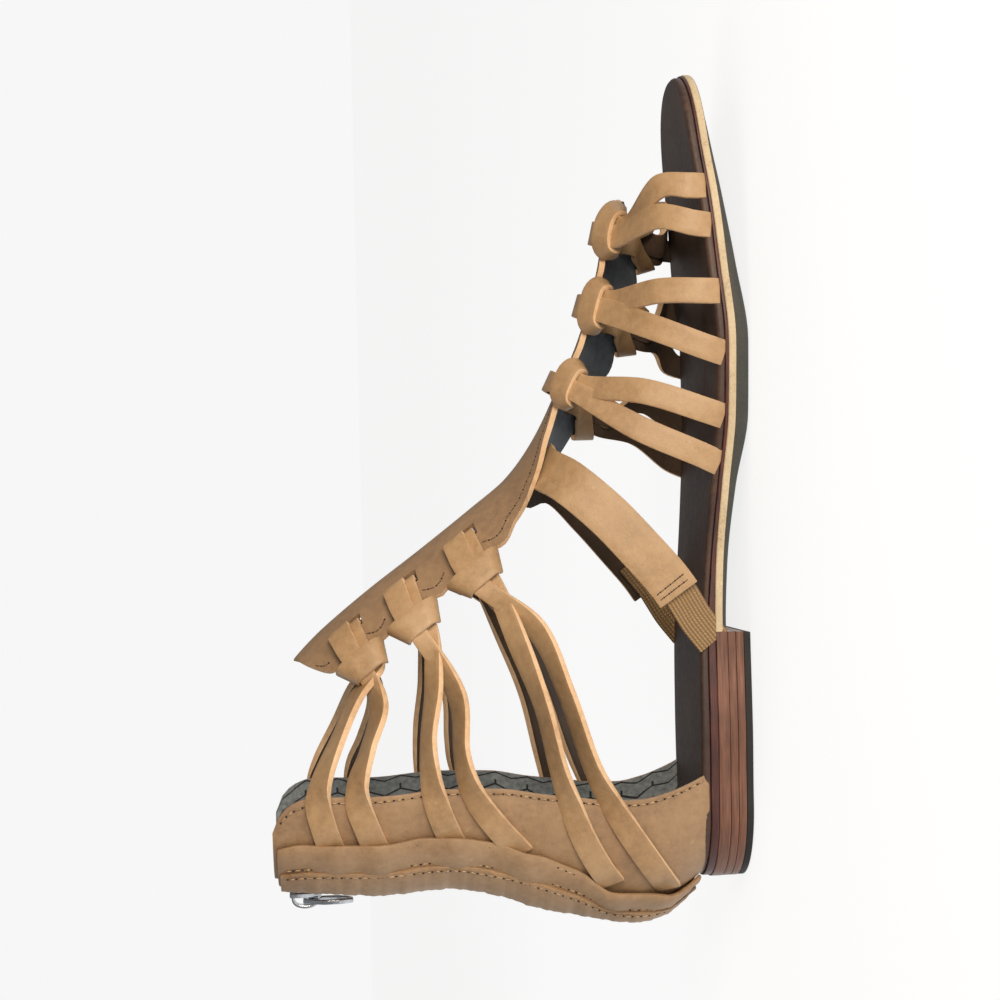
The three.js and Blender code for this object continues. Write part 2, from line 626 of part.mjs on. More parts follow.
// Where a strap meets the sole: just inside its edge, on top of the midsole.
function soleSeat(x, sign, above) {
  const z = between(SOLE_PROFILE, "x", x, "midsole") + GAP + above;
  return vec(x, soleEdge(x, sign, STRAP_SEAT), z);
}

function soleRoute(row, sign, tail) {
  const exit = atHitch(row, sign, { along: 0, out: HITCH.at(-1).out, lift: 0 }).point;
  const foot = soleSeat(tail.foot, sign, 0);
  const buried = soleSeat(tail.foot, sign, -STRAP_SINK);
  const near = soleSeat(tail.foot, sign, STRAP_RISE);
  const y = exit.y + (foot.y - exit.y) * TAIL_BOW.out;
  const z = foot.z + (exit.z - foot.z) * TAIL_BOW.down;
  return [vec(tail.mid, y, z), near, buried];
}

function ankleRoute(points, sign) {
  return points.map(({ x, y, z }) => {
    if (y !== undefined) return vec(x, sign * y, z);
    const lift = 3 * GAP + STRAP_THICKNESS / 2;
    return quarterAt(z, turnOf(z, x), sign, lift);
  });
}

function hitchedStrap(row, sign, swell = 0) {
  const forefoot = row < FOREFOOT_ROWS;
  const tails = (forefoot ? SOLE_TAILS : ANKLE_TAILS).find((t) => t.row === row);
  const halves = [["front", 1], ["rear", -1]].map(([end, half]) => {
    const route = forefoot ? soleRoute(row, sign, tails[end]) : ankleRoute(tails[end], sign);
    const hitch = hitchHalf(row, sign, half);
    const tail = smooth([hitch.points.at(-1), ...route], TAIL_STEPS);
    const foot = tails[end].foot;
    const edgeWay = () => vec(2, soleEdge(foot + 1, sign) - soleEdge(foot - 1, sign), 0);
    const widthEnd = forefoot ? edgeWay() : vec(0, 0, -1);
    const faces = facesOf(tail, plateAt(HITCHES[row], sign).along, widthEnd, -sign);
    return ribbon(
      [...hitch.points, ...tail.slice(1)],
      [...hitch.faces, ...faces.slice(1)],
      STRAP_WIDTH + 2 * swell,
      STRAP_THICKNESS + 2 * swell,
    );
  });
  return joined(halves);
}

// A slot through the plate for one hitch.
function hitchSlot(row, sign) {
  const ends = [-SLOT.half, 0, SLOT.half].map((along) => {
    const corner = (out, lift) => atHitch(row, sign, { along, out, lift }).point;
    const { deep, shallow, reach } = SLOT;
    return [corner(deep, -reach), corner(shallow, -reach), corner(shallow, reach), corner(deep, reach)];
  });
  return manifoldOf(loft(ends));
}

const slots = [];
const swollen = [];
for (const { name, sign } of SIDES) {
  for (const row of HITCHES.keys()) {
    slots.push(hitchSlot(row, sign));
    const strap = largest(hitchedStrap(row, sign).subtract(underStraps));
    place(`strap_${row + 1}_${name}`, geometryOf(strap), FINISH.strap());
    swollen.push(hitchedStrap(row, sign, GAP));
  }
}

// ---- Instep straps and gores --------------------------------------------------------------------------
const SIDE_WIDTH_START = vec(0.78, 0, -0.63); // the way a side strap's width looks at the plate
const SIDE_WIDTH_END = vec(1, 0, -0.25); // and at the sole
const onSide = (route, sign) => route.map(({ x, y, z }) => vec(x, y * sign, z));
function instepRoute(sign) {
  const root = INSTEP_ROOT.map(({ x, across, out, lift }) => {
    const spot = plateAt(x, sign * across);
    return spot.point.addScaledVector(spot.normal, lift).addScaledVector(spot.outward, sign * out);
  });
  return [...root, ...onSide(INSTEP_ROUTE, sign)];
}
function sideRibbon(route, sign, width, thickness) {
  const line = smooth(route, 12);
  const faces = facesOf(line, SIDE_WIDTH_START, SIDE_WIDTH_END, -sign);
  return ribbon(line, faces, width, thickness);
}
for (const { name, sign } of SIDES) {
  const strap = sideRibbon(instepRoute(sign), sign, INSTEP_WIDTH, STRAP_THICKNESS);
  const goreLine = onSide(GORE_ROUTE, sign);
  const gore = manifoldOf(sideRibbon(goreLine, sign, GORE_WIDTH, GORE_THICKNESS)).subtract(underStraps);
  const swollenGore = sideRibbon(goreLine, sign, GORE_WIDTH + 2 * GAP, GORE_THICKNESS + 2 * GAP);
  place("instep_strap_" + name, strap, FINISH.strap());
  place("gore_" + name, geometryOf(largest(gore)), FINISH.elastic());
  swollen.push(manifoldOf(swollenGore));
}

// ---- Plate and footbed, opened where the straps pass --------------------------------------------------
const together = (manifolds) => manifolds.reduce((all, one) => all.add(one));
const clearance = together(swollen);
const plate = manifoldOf(plateSurface(26, 8)).subtract(together(slots));
place("centre_plate", geometryOf(largest(plate)), FINISH.plate());
const footbed = soleLayer({
  low: profile("midsole", GAP), high: profile("footbed"), inset: FOOTBED_INSET, round: 1.2, steps: 24,
});
const quarterClearance = manifoldOf(quarterWall(GAP, -QUARTER_THICKNESS - GAP));
place(
  "footbed",
  geometryOf(largest(manifoldOf(footbed).subtract(clearance).subtract(quarterClearance))),
  FINISH.footbed(),
);

// The origin is the middle of the underside of the whole sandal.
const box = new THREE.Box3().setFromObject(group);
const centre = box.getCenter(new THREE.Vector3());
group.position.set(-centre.x, -centre.y, -box.min.z);

export default group;
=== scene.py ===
import math
import random
import bpy
from mathutils import Matrix, Vector


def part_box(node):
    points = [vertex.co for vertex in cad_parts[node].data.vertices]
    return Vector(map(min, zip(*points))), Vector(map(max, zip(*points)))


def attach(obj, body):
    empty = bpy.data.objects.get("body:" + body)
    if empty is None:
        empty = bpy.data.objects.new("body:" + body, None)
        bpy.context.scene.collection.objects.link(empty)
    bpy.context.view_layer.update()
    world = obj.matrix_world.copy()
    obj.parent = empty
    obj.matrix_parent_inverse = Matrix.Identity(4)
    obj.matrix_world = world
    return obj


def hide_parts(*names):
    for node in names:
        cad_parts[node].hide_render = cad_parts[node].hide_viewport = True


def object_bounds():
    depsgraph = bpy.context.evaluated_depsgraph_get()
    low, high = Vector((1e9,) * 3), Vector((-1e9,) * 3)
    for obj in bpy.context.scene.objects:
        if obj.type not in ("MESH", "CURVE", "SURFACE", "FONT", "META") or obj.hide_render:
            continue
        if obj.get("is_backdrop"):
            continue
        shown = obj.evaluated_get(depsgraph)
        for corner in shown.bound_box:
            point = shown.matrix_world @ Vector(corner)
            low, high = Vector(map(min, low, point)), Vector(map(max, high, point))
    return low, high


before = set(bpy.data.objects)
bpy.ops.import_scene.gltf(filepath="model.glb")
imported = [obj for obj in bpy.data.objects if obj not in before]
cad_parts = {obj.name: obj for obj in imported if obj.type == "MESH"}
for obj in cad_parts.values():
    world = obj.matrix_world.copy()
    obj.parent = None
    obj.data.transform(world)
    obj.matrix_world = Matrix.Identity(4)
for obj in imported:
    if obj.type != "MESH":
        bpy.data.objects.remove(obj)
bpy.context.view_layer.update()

# ---- Outsole ------------------------------------------------------------------------------------------
# A thin moulded rubber sole. Its lower part is dark grey with a rounded underside, and its grey also paints
# the shadow under the sole; the upper 2.3 mm of its wall is painted tan, and at the heel it runs on as a
# brown layer of the stack. It is glued to the midsole.
# Lengths are in millimetres from the back of the sole, its middle line and the floor.
MM = 0.001
SOLE_LENGTH = 254.7
HEEL_BREAST = 79.0
END_RADIUS = 26.0
TOE_LEAN = -4.5
# place along the sole, half width to the inner side, half width to the outer side
SOLE_OUTLINE = [
    (0, 28.5, 29), (26, 28.5, 29.5), (50, 30, 31), (80, 29.2, 31), (105, 29.8, 33), (130, 33.2, 37),
    (155, 38.5, 41.5), (175, 40.5, 42), (195, 39.5, 40.2), (214, 37.2, 35.6), (235, 33, 28.5),
    (SOLE_LENGTH, 32.5, 26.5),
]
# place along the sole, underside, and the tops of outsole, midsole and footbed
SOLE_HEIGHTS = [
    (0, 7.2, 10.7, 13.2, 16.2), (62, 7.2, 10.7, 13.2, 15.8), (80, 7.2, 10.9, 13.0, 15.4),
    (98, 6.5, 10.4, 11.9, 13.9), (124, 3.6, 8.3, 9.4, 11.6), (146, 0, 6.5, 7.5, 9.9), (168, 0, 6.4, 7.4, 9.8),
    (192, 3.3, 8.5, 9.5, 12.1), (210, 6.1, 10.1, 11, 13.6), (231, 9.4, 12.6, 13.4, 16.1),
    (SOLE_LENGTH, 12.9, 14.9, 15.7, 18.2),
]
UNDER, OUTSOLE_TOP, MIDSOLE_TOP, FOOTBED_TOP = 1, 2, 3, 4
PAINTED_EDGE = 2.3

sole_low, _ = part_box("outsole")
slider_low, slider_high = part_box("zip_slider")
heel_back = sole_low.x
middle_line = (slider_low.y + slider_high.y) / 2


def spot(x, y, z):
    """A place on the sandal, given in millimetres, as a place in the frame."""
    return Vector((heel_back + x * MM, middle_line + y * MM, z * MM))


def between(table, place, column):
    """Value of a column between the rows of a table, smooth and without overshoot."""
    rows = sorted(table)
    place = min(max(place, rows[0][0]), rows[-1][0])
    i = 0
    while i < len(rows) - 2 and place > rows[i + 1][0]:
        i += 1

    def slope(k):
        if k <= 0 or k >= len(rows) - 1:
            return None
        before = (rows[k][column] - rows[k - 1][column]) / (rows[k][0] - rows[k - 1][0])
        after = (rows[k + 1][column] - rows[k][column]) / (rows[k + 1][0] - rows[k][0])
        return 0 if before * after <= 0 else 2 * before * after / (before + after)

    (x0, y0), (x1, y1) = [(rows[k][0], rows[k][column]) for k in (i, i + 1)]
    span = x1 - x0
    straight = (y1 - y0) / span
    m0, m1 = slope(i), slope(i + 1)
    m0 = straight if m0 is None else m0
    m1 = straight if m1 is None else m1
    t = (place - x0) / span
    return (y0 * (1 + 2 * t) * (1 - t) ** 2 + m0 * span * t * (1 - t) ** 2
            + y1 * t * t * (3 - 2 * t) + m1 * span * t * t * (t - 1))


def sole_edge(x, side, inset=0.0):
    """How far the sole's edge lies from the middle line at x; side is -1 for the inner side."""
    heel = max(0.0, (END_RADIUS - x) / (END_RADIUS - inset))
    toe = max(0.0, (x - SOLE_LENGTH + END_RADIUS) / (END_RADIUS - inset))
    half = side * (between(SOLE_OUTLINE, x, 1 if side < 0 else 2) - inset)
    shift = TOE_LEAN if x > SOLE_LENGTH / 2 else 0
    ends = math.sqrt(max(0.0, 1 - heel ** 2)) * max(0.0, 1 - toe ** 2.3) ** 0.435
    return shift + (half - shift) * ends


def cut_sheet(name, columns, rows, lay):
    """A sheet of columns by rows squares, each corner laid in its place, in millimetres."""
    bpy.ops.object.select_all(action="DESELECT")
    bpy.ops.mesh.primitive_grid_add(x_subdivisions=columns, y_subdivisions=rows, size=1, calc_uvs=True)
    sheet = bpy.context.active_object
    sheet.name = name
    sheet.data.name = name
    for corner in sheet.data.vertices:
        corner.co = spot(*lay(corner.co.x + 0.5, corner.co.y + 0.5))
    return sheet


def pick(*pieces):
    """Selects these pieces only and makes the first one active."""
    bpy.ops.object.select_all(action="DESELECT")
    for piece in pieces:
        piece.select_set(True)
    bpy.context.view_layer.objects.active = pieces[0]


def hand_edit(piece, *steps):
    """Runs edit-mode steps on the whole piece."""
    pick(piece)
    bpy.ops.object.mode_set(mode="EDIT")
    bpy.ops.mesh.select_all(action="SELECT")
    for step, settings in steps:
        step(**settings)
    bpy.ops.object.mode_set(mode="OBJECT")


CLOSE_SEAM = (bpy.ops.mesh.remove_doubles, {"threshold": 0.00001})
FACE_OUT = (bpy.ops.mesh.normals_make_consistent, {"inside": False})


def worked(piece, kind, **settings):
    """Finishes a piece with one modifier, applied."""
    modifier = piece.modifiers.new(kind.title(), kind)
    for setting, value in settings.items():
        setattr(modifier, setting, value)
    pick(piece)
    bpy.ops.object.modifier_apply(modifier=modifier.name)


def broken_edges(piece, width, segments, degrees):
    """Rounds the piece's sharp edges by a small width."""
    worked(piece, "BEVEL", width=width * MM, segments=segments, limit_method="ANGLE",
           angle_limit=math.radians(degrees))


def shaded(piece, degrees=38):
    pick(piece)
    bpy.ops.object.shade_smooth_by_angle(angle=math.radians(degrees))


def wear(piece, *finishes):
    """Gives a piece its finishes; of three, the second is its lining and the third its cut edge."""
    for finish in finishes:
        piece.data.materials.append(finish)


def fitted(piece, finishes=(), nodes=(), body="sandal"):
    """Gives a finished piece its body and its finish if it has one, and hides the imported parts that it
    stands for.
    """
    wear(piece, *finishes)
    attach(piece, body)
    if nodes:
        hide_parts(*nodes)
    return piece


def srgb(colour):
    """The linear colour of an sRGB hex value."""
    parts = [int(colour[i:i + 2], 16) / 255 for i in (1, 3, 5)]
    return tuple(p / 12.92 if p <= 0.04045 else ((p + 0.055) / 1.055) ** 2.4 for p in parts) + (1.0,)


def new_finish(name, **sockets):
    """An empty finish with values set on its shader."""
    finish = bpy.data.materials.new(name)
    finish.use_nodes = True
    shader = finish.node_tree.nodes["Principled BSDF"]
    for socket, value in sockets.items():
        shader.inputs[socket.replace("_", " ")].default_value = value
    return finish, shader


def node(finish, kind, settings, output=0):
    """Adds a node with its settings and links, and gives one of its outputs.

    The stops of a colour ramp are pairs of a place and an sRGB colour or a grey.
    """
    made = finish.node_tree.nodes.new("ShaderNode" + kind)
    for key, value in settings.items():
        if key == "stops":
            stops = made.color_ramp.elements
            while len(stops) < len(value):
                stops.new(0.5)
            for stop, (place, colour) in zip(stops, value):
                stop.position = place
                stop.color = srgb(colour) if isinstance(colour, str) else (colour, colour, colour, 1)
        elif isinstance(key, str) and key in made.bl_rna.properties:
            setattr(made, key, value)
        elif isinstance(value, bpy.types.NodeSocket):
            finish.node_tree.links.new(value, made.inputs[key])
        else:
            made.inputs[key].default_value = value
    return made.outputs[output]


def plug_in(shader, **patterns):
    """Links patterns into a shader's sockets."""
    for socket, pattern in patterns.items():
        shader.id_data.links.new(pattern, shader.inputs[socket.replace("_", " ")])


def moulded_rubber(name, colours, grit):
    """Moulded rubber, matt, with grit and broad scuffs; colours run from its marks to its lit face.

    Real grit is about a tenth of a millimetre, and it is drawn coarser here, so that it shows.
    """
    finish, shader = new_finish(name, Roughness=0.7, IOR=1.5)
    place = node(finish, "TexCoord", {}, "Object")
    scuff = node(finish, "TexNoise", {
        "Vector": place, "Scale": 1 / (9 * MM), "Detail": 6.0, "Roughness": 0.65})
    grain = node(finish, "TexNoise", {"Vector": place, "Scale": 1 / (grit * MM), "Detail": 3.0})
    mixed = node(finish, "MixRGB", {"blend_type": "MIX", "Fac": 0.35, "Color1": scuff, "Color2": grain})
    plug_in(
        shader,
        Base_Color=node(finish, "ValToRGB", {0: mixed, "stops": colours}),
        Roughness=node(finish, "ValToRGB", {0: scuff, "stops": [(0.3, 0.55), (0.7, 0.85)]}),
        Normal=node(finish, "Bump", {"Strength": 0.35, "Distance": 0.2 * MM, "Height": grain}))
    return finish


def sole_layer(name, low, high, inset, start, end, bottom_round, top_round, around=150):
    """A layer of the sole between two heights, its edges rounded, start and end as places along it."""
    steps = 5
    section = []
    for share in (1.0, 0.8, 0.5, 0.2):
        section.append((share, bottom_round, 0, 0.0))
    for k in range(steps + 1):
        turn = math.pi / 2 * k / steps
        section.append((0.0, bottom_round * (1 - math.sin(turn)), 0, bottom_round * (1 - math.cos(turn))))
    for k in range(steps + 1):
        turn = math.pi / 2 * k / steps
        section.append((0.0, top_round * (1 - math.cos(turn)), 1, top_round * (1 - math.sin(turn))))
    for share in (0.04, 0.1, 0.2, 0.4, 0.65, 1.0):
        section.append((share, top_round, 1, 0.0))

    def lay(u, v):
        toward, draw_in, at_top, gap = section[round(v * (len(section) - 1))]
        draw_in += inset
        side = -1 if u < 0.5 else 1
        along = 2 * u if u < 0.5 else 2 - 2 * u
        first = start + (draw_in if start < 5 else draw_in - inset)
        last = end - (draw_in if end > SOLE_LENGTH - 5 else draw_in - inset)
        x = first + (last - first) * (1 - math.cos(math.pi * along)) / 2
        near = min(max(x, first + 0.01), last - 0.01)
        y = sole_edge(near, side, draw_in) if along > 0 else 0.0
        middle = (first + last) / 2
        x += (middle - x) * toward
        y *= 1 - toward
        return x, y, high(x) - gap if at_top else low(x) + gap

    layer = cut_sheet(name, around, len(section) - 1, lay)
    hand_edit(layer, CLOSE_SEAM, FACE_OUT)
    shaded(layer, 50)
    return layer


def height(column, more=0.0):
    """How high a layer's face is, as a function of the place along the sole."""
    return lambda x: between(SOLE_HEIGHTS, x, column) + more


# Grey moulded rubber: dull and gritty; its dark grey also paints the shadow under the sole as a dark line.
grey_rubber_painted_shadow = moulded_rubber("grey_moulded_rubber_painted_shadow", [(0.3, "#2E2E2A"), (0.7, "#4A4943")], 0.8)
# Tan edge paint on the rubber: pale, even and matt, with darker worn places.
tan_edge_paint = moulded_rubber(
    "tan_painted_sole_edge", [(0.3, "#8C765A"), (0.42, "#C2AB88"), (0.65, "#D6C2A2")], 0.7)
tread = sole_layer(
    "outsole_tread", height(UNDER), height(OUTSOLE_TOP, -PAINTED_EDGE), 0.3, 76, SOLE_LENGTH, 2.4, 0.1, 180)
fitted(tread, [grey_rubber_painted_shadow], ["outsole"])
edge = sole_layer(
    "outsole_painted_edge", height(OUTSOLE_TOP, -PAINTED_EDGE), height(OUTSOLE_TOP), 0,
    HEEL_BREAST, SOLE_LENGTH, 0.4, 0.5, 180)
fitted(edge, [tan_edge_paint])

# ---- Heel ---------------------------------------------------------------------------------------------
# A low stack of brown leather-board layers with a black rubber top piece, cut straight at the breast.
# It is nailed and glued up under the back of the sole, and its edge is stained, waxed and brushed.
# name, underside, top and draw-in of each layer
LIFTS = [
    ("heel_seat", 7.2, 10.7, 0.0), ("heel_lift_upper", 4.7, 7.1, 0.1), ("heel_lift_lower", 2.2, 4.6, 0.15),
]


def leather_board(name, colours, layer):
    """Stacked board: waxed, streaked along its layers, which are that many millimetres thick."""
    finish, shader = new_finish(name, Roughness=0.45, IOR=1.5, Coat_Weight=0.15, Coat_Roughness=0.35)
    place = node(finish, "TexCoord", {}, "Object")
    drawn_out = node(finish, "Mapping", {"Vector": place, "Scale": (0.06, 0.06, 1.0)})
    streak = node(finish, "TexNoise", {"Vector": drawn_out, "Scale": 1 / (layer * MM), "Detail": 5.0})
    blotch = node(finish, "TexNoise", {"Vector": place, "Scale": 1 / (14 * MM), "Detail": 4.0})
    mixed = node(finish, "MixRGB", {"blend_type": "MIX", "Fac": 0.4, "Color1": streak, "Color2": blotch})
    plug_in(
        shader,
        Base_Color=node(finish, "ValToRGB", {0: mixed, "stops": colours}),
        Roughness=node(finish, "ValToRGB", {0: blotch, "stops": [(0.3, 0.34), (0.7, 0.6)]}),
        Normal=node(finish, "Bump", {"Strength": 0.4, "Distance": 0.15 * MM, "Height": streak}))
    return finish


# Waxed leather board: warm red-brown with thin level streaks and a soft shine.
stack_board = leather_board(
    "waxed_heel_board", [(0.3, "#4A2C20"), (0.5, "#734A36"), (0.62, "#835642"), (0.75, "#A07A60")], 0.7)
# Black heel rubber: the darkest and dullest part of the sandal.
black_rubber = moulded_rubber("heel_top_piece_rubber", [(0.3, "#141312"), (0.7, "#2A2826")], 0.6)
for name, low, high, inset in LIFTS:
    lift = sole_layer(name, lambda x, z=low: z, lambda x, z=high: z, inset, 0, HEEL_BREAST, 0.25, 0.25, 110)
    fitted(lift, [stack_board], ["heel_lift"] if name == "heel_lift_upper" else [])
top_piece = sole_layer(
    "heel_top_piece", lambda x: 0.0, lambda x: 2.1, 0.3, 0, HEEL_BREAST - 0.2, 0.35, 0.2, 110)
fitted(top_piece, [black_rubber], ["top_piece"])

# ---- Midsole ------------------------------------------------------------------------------------------
# A board between outsole and footbed, its edge stained dark red-brown and left rough.
# The straps' ends are glued on top of it.
# Stained board edge: nearly black red-brown, with fine fibres that catch the light.
red_board = leather_board(
    "red_brown_board_edge", [(0.32, "#1F0D09"), (0.5, "#47201A"), (0.6, "#5A2A1E"), (0.75, "#8A4A34")],
    0.35)
midsole = sole_layer(
    "midsole_board", height(OUTSOLE_TOP, 0.02), height(MIDSOLE_TOP), 0.35, 0, SOLE_LENGTH, 0.2, 0.3, 180)
fitted(midsole, [red_board], ["midsole"])

# ---- Footbed ------------------------------------------------------------------------------------------
# A padded insole covered with smooth dark brown leather that is wrapped round its edge.
# It is glued over the ends of the straps and lies inside the sole's edge.
def smooth_leather(name, colours, grain, rough, coat=0.0, scuffed=None):
    """Dyed smooth leather: cloudy colour, fine pores and low creases; grain is the pores' spacing in mm.

    Real pores are about 0.2 mm apart, and they are drawn coarser here, so that they show.
    """
    finish, shader = new_finish(name, IOR=1.48, Coat_Weight=coat, Coat_Roughness=0.4)
    place = node(finish, "TexCoord", {}, "Object")
    cloud = node(finish, "TexNoise", {
        "Vector": place, "Scale": 1 / (26 * MM), "Detail": 5.0, "Roughness": 0.6})
    mottle = node(finish, "TexNoise", {
        "Vector": place, "Scale": 1 / (2.6 * MM), "Detail": 4.0, "Roughness": 0.7})
    pores = node(finish, "TexVoronoi", {
        "Vector": place, "Scale": 1 / (grain * MM), "Randomness": 1.0}, "Distance")
    mixed = node(finish, "MixRGB", {"blend_type": "MIX", "Fac": 0.42, "Color1": cloud, "Color2": mottle})
    tone = node(finish, "ValToRGB", {0: mixed, "stops": colours})
    if scuffed:
        scuffs = node(finish, "TexNoise", {
            "Vector": place, "Scale": 1 / (5 * MM), "Detail": 8.0, "Roughness": 0.75})
        marks = node(finish, "ValToRGB", {0: scuffs, "stops": [(0.62, 0.0), (0.72, 0.5)]})
        tone = node(finish, "MixRGB", {
            "blend_type": "MIX", "Fac": marks, "Color1": tone, "Color2": srgb(scuffed)})
    matt = node(finish, "ValToRGB", {0: mottle, "stops": [(0.3, rough - 0.07), (0.7, rough + 0.1)]})
    fine = node(finish, "Bump", {"Strength": 0.3, "Distance": 0.12 * MM, "Height": pores})
    creased = node(finish, "Bump", {"Strength": 0.25, "Distance": 0.5 * MM, "Height": mottle, "Normal": fine})
    plug_in(shader, Base_Color=tone, Roughness=matt, Normal=creased)
    return finish


# Smooth insole leather: deep brown, lightly polished by the foot, with paler rubbed places.
footbed_leather = smooth_leather(
    "dark_brown_insole_leather", [(0.32, "#2C1D16"), (0.5, "#443027"), (0.68, "#5A4032")],
    0.9, 0.52, 0.05, "#67493A")
footbed = sole_layer(
    "footbed_cover", height(MIDSOLE_TOP, 0.05), height(FOOTBED_TOP), 0.9, 0, SOLE_LENGTH, 0.4, 1.3, 180)
fitted(footbed, [footbed_leather], ["footbed"])

# ---- Centre plate -------------------------------------------------------------------------------------
# A long tongue of tan leather with a grey-blue leather lining, stitched together 2 mm inside the edge.
# It runs from the ball of the foot up the instep to the shin, and the straps are hitched through its slots.
# place along it, height, offset to the outer side, roll, half width, crown
PLATE = [
    (217, 32.7, 6, 20, 7, 1), (213, 34.2, 6, 22, 12, 2), (206, 36, 6.5, 24, 15.5, 3),
    (192.5, 38.6, 7, 25, 16.5, 4), (181, 41.7, 7, 25, 17, 4), (169.8, 45.8, 7, 24, 17, 4),
    (155, 53.2, 7, 22, 17, 4), (139.5, 62.4, 5, 15, 17.5, 5), (127.5, 72, 2.5, 7, 18, 8),
    (118.3, 83.4, 0.5, 0, 18, 11.5), (104.2, 101.8, 0, 0, 18, 11.8), (93.4, 116.4, 0, 0, 18, 11.5),
    (81, 131.6, 0, 0, 17.6, 11), (77.5, 135.3, 0, 0, 17.2, 10.6), (74.5, 138.2, 0, 0, 16.6, 9.8),
    (72, 140.4, 0, 0, 15.8, 8.8), (69, 142.8, 0, 0, 15, 8),
]
PLATE_THICK = 1.8
# Places of the six hitches, and of the tabs between them with half their length.
HITCHES = [205.5, 181, 156, 110.6, 96.6, 83.2]
TABS = [(193, 5.2), (168.5, 5.2), (117.8, 3.4), (103.6, 3), (89.9, 3)]
TAB_REACH = 1.5
TOP_END, TOP_ROUND = 72.2, 4.5
TOE_END, TOE_ROUND = 217.0, 9.0


def plate_value(x, column):
    """A column of the plate's table at a place along it."""
    return between(PLATE, x, column)


def plate_half(x):
    """Half width with its rounded ends and the small tabs that swell between the hitches."""
    half = plate_value(x, 4)
    for middle, reach in TABS:
        half += TAB_REACH * max(0.0, 1 - ((x - middle) / reach) ** 2) ** 1.5
    top = max(0.0, (TOP_END + TOP_ROUND - x) / TOP_ROUND)
    toe = max(0.0, (x - TOE_END + TOE_ROUND) / TOE_ROUND)
    return half * math.sqrt(max(0.006, 1 - top ** 2)) * math.sqrt(max(0.006, 1 - toe ** 2))


def plate_at(x, across, half=None):
    """Place on the plate's middle surface, with the ways along it, out over its edge and off its face."""
    def centre(at):
        return Vector((at, plate_value(at, 2), plate_value(at, 1)))

    along = (centre(x + 1) - centre(x - 1)).normalized()
    roll = math.radians(plate_value(x, 3))
    up = along.cross(Vector((0, math.cos(roll), -math.sin(roll)))).normalized()
    side = up.cross(along).normalized()
    full = plate_value(x, 4)
    half = full if half is None else half
    crown = plate_value(x, 5) * (half / full) ** 2
    point = centre(x) + side * across * half - up * crown * across * across
    outward = (side * half - up * 2 * crown * across).normalized()
    return point, along, outward, along.cross(outward).normalized()


def plate_place(share):
    """Place along the plate at a share of its length, closer together at its round ends."""
    reach = TOE_END - TOP_END
    eased = share - 0.09 * math.sin(4 * math.pi * share) / 2
    steep = [(0.0, 0.0), (0.36, 0.29), (1.0, 1.0)]
    return TOP_END + reach * between(steep, eased, 1)


# Smooth tan leather, darker and greyer than the straps: painted shade for its top face, which is turned
# from the light; soft clouds and a low satin sheen.
plate_leather = smooth_leather(
    "tan_plate_painted_shade_leather", [(0.3, "#7E634A"), (0.5, "#98795A"), (0.7, "#AA8A68")], 0.8, 0.5, 0.1, "#BFA480")
# The raw cut edge of leather: pale, fibrous and dull, a light line round every strap.
cut_edge = smooth_leather(
    "raw_cut_leather_edge", [(0.3, "#B98F66"), (0.5, "#DDB68C"), (0.7, "#E9C9A4")], 0.5, 0.75)
# Lining leather, thin and dyed through: cool grey-blue with a faint shine.
plate_lining = smooth_leather(
    "grey_blue_lining_leather", [(0.3, "#4E555D"), (0.5, "#6A727B"), (0.7, "#8A9099")],
    1.1, 0.5, 0.15, "#A3A8AE")


def lay_plate(u, v):
    x = plate_place(v)
    point, _, _, _ = plate_at(x, 2 * u - 1, plate_half(x))
    return point


def upward(piece, place, way):
    """Turns the piece's faces over if those nearest a place look against a way."""
    target = spot(*place)
    nearest = min(piece.data.polygons, key=lambda face: (face.center - target).length_squared)
    if nearest.normal.dot(Vector(way)) < 0:
        hand_edit(piece, (bpy.ops.mesh.flip_normals, {}))


plate = cut_sheet("centre_plate_leather", 28, 150, lay_plate)
point, _, _, off = plate_at(104, 0)
upward(plate, point, off)
wear(plate, plate_leather, plate_lining, cut_edge)
worked(plate, "SOLIDIFY", thickness=PLATE_THICK * MM, offset=0, use_even_offset=False,
       material_offset=1, material_offset_rim=2)

# The slots are punched through, one under each hitch: half length, half depth of the punch, and how far
# the outer and inner sides lie from the plate's edge.
SLOT_HALF, SLOT_DEEP = 6.1, 3.0
FOREFOOT_SLOT, ANKLE_SLOT = (-7.3, -10.7), (-4.6, -8.2)
# The slots lie a little nearer the toe than the loops, so that the tails lean over the bar.
LEAN = [0.1, 0.1, 0.1, 0.34, 0.38, 0.3]


def block():
    """A cube one unit wide, to be laid corner by corner."""
    bpy.ops.object.select_all(action="DESELECT")
    bpy.ops.mesh.primitive_cube_add(size=1)
    return bpy.context.active_object


def at_hitch(row, side, along, out, lift):
    """Place near a hitch: along the plate, out past its edge, and off its middle surface."""
    x = HITCHES[row]
    along += LEAN[row] * max(0.0, 2 - out)
    slope = math.hypot(1, plate_value(x + 1, 1) - plate_value(x, 1))
    at = x + along / slope
    half = plate_value(at, 4)
    point, way, outward, off = plate_at(at, side * max(0.0, 1 + min(out, 0) / half))
    edge_out = plate_at(x, side)[2]
    return point + off * lift + edge_out * side * max(0.0, out), way, outward * side, off


punches = []
for row in range(len(HITCHES)):
    for side in (-1, 1):
        punch = block()
        for corner in punch.data.vertices:
            out = (FOREFOOT_SLOT if row < 3 else ANKLE_SLOT)[0 if corner.co.y > 0 else 1]
            lift = SLOT_DEEP if corner.co.z > 0 else -SLOT_DEEP
            along = SLOT_HALF if corner.co.x > 0 else -SLOT_HALF
            corner.co = spot(*at_hitch(row, side, along, out, lift)[0])
        hand_edit(punch, FACE_OUT)
        punches.append(punch)


def cut_out(piece, cutter):
    """Cuts a block's shape out of a piece and takes the block away."""
    worked(piece, "BOOLEAN", object=cutter, operation="DIFFERENCE", solver="EXACT")
    bpy.data.objects.remove(cutter)


for punch in punches:
    cut_out(plate, punch)
shaded(plate)
fitted(plate, nodes=["centre_plate"])

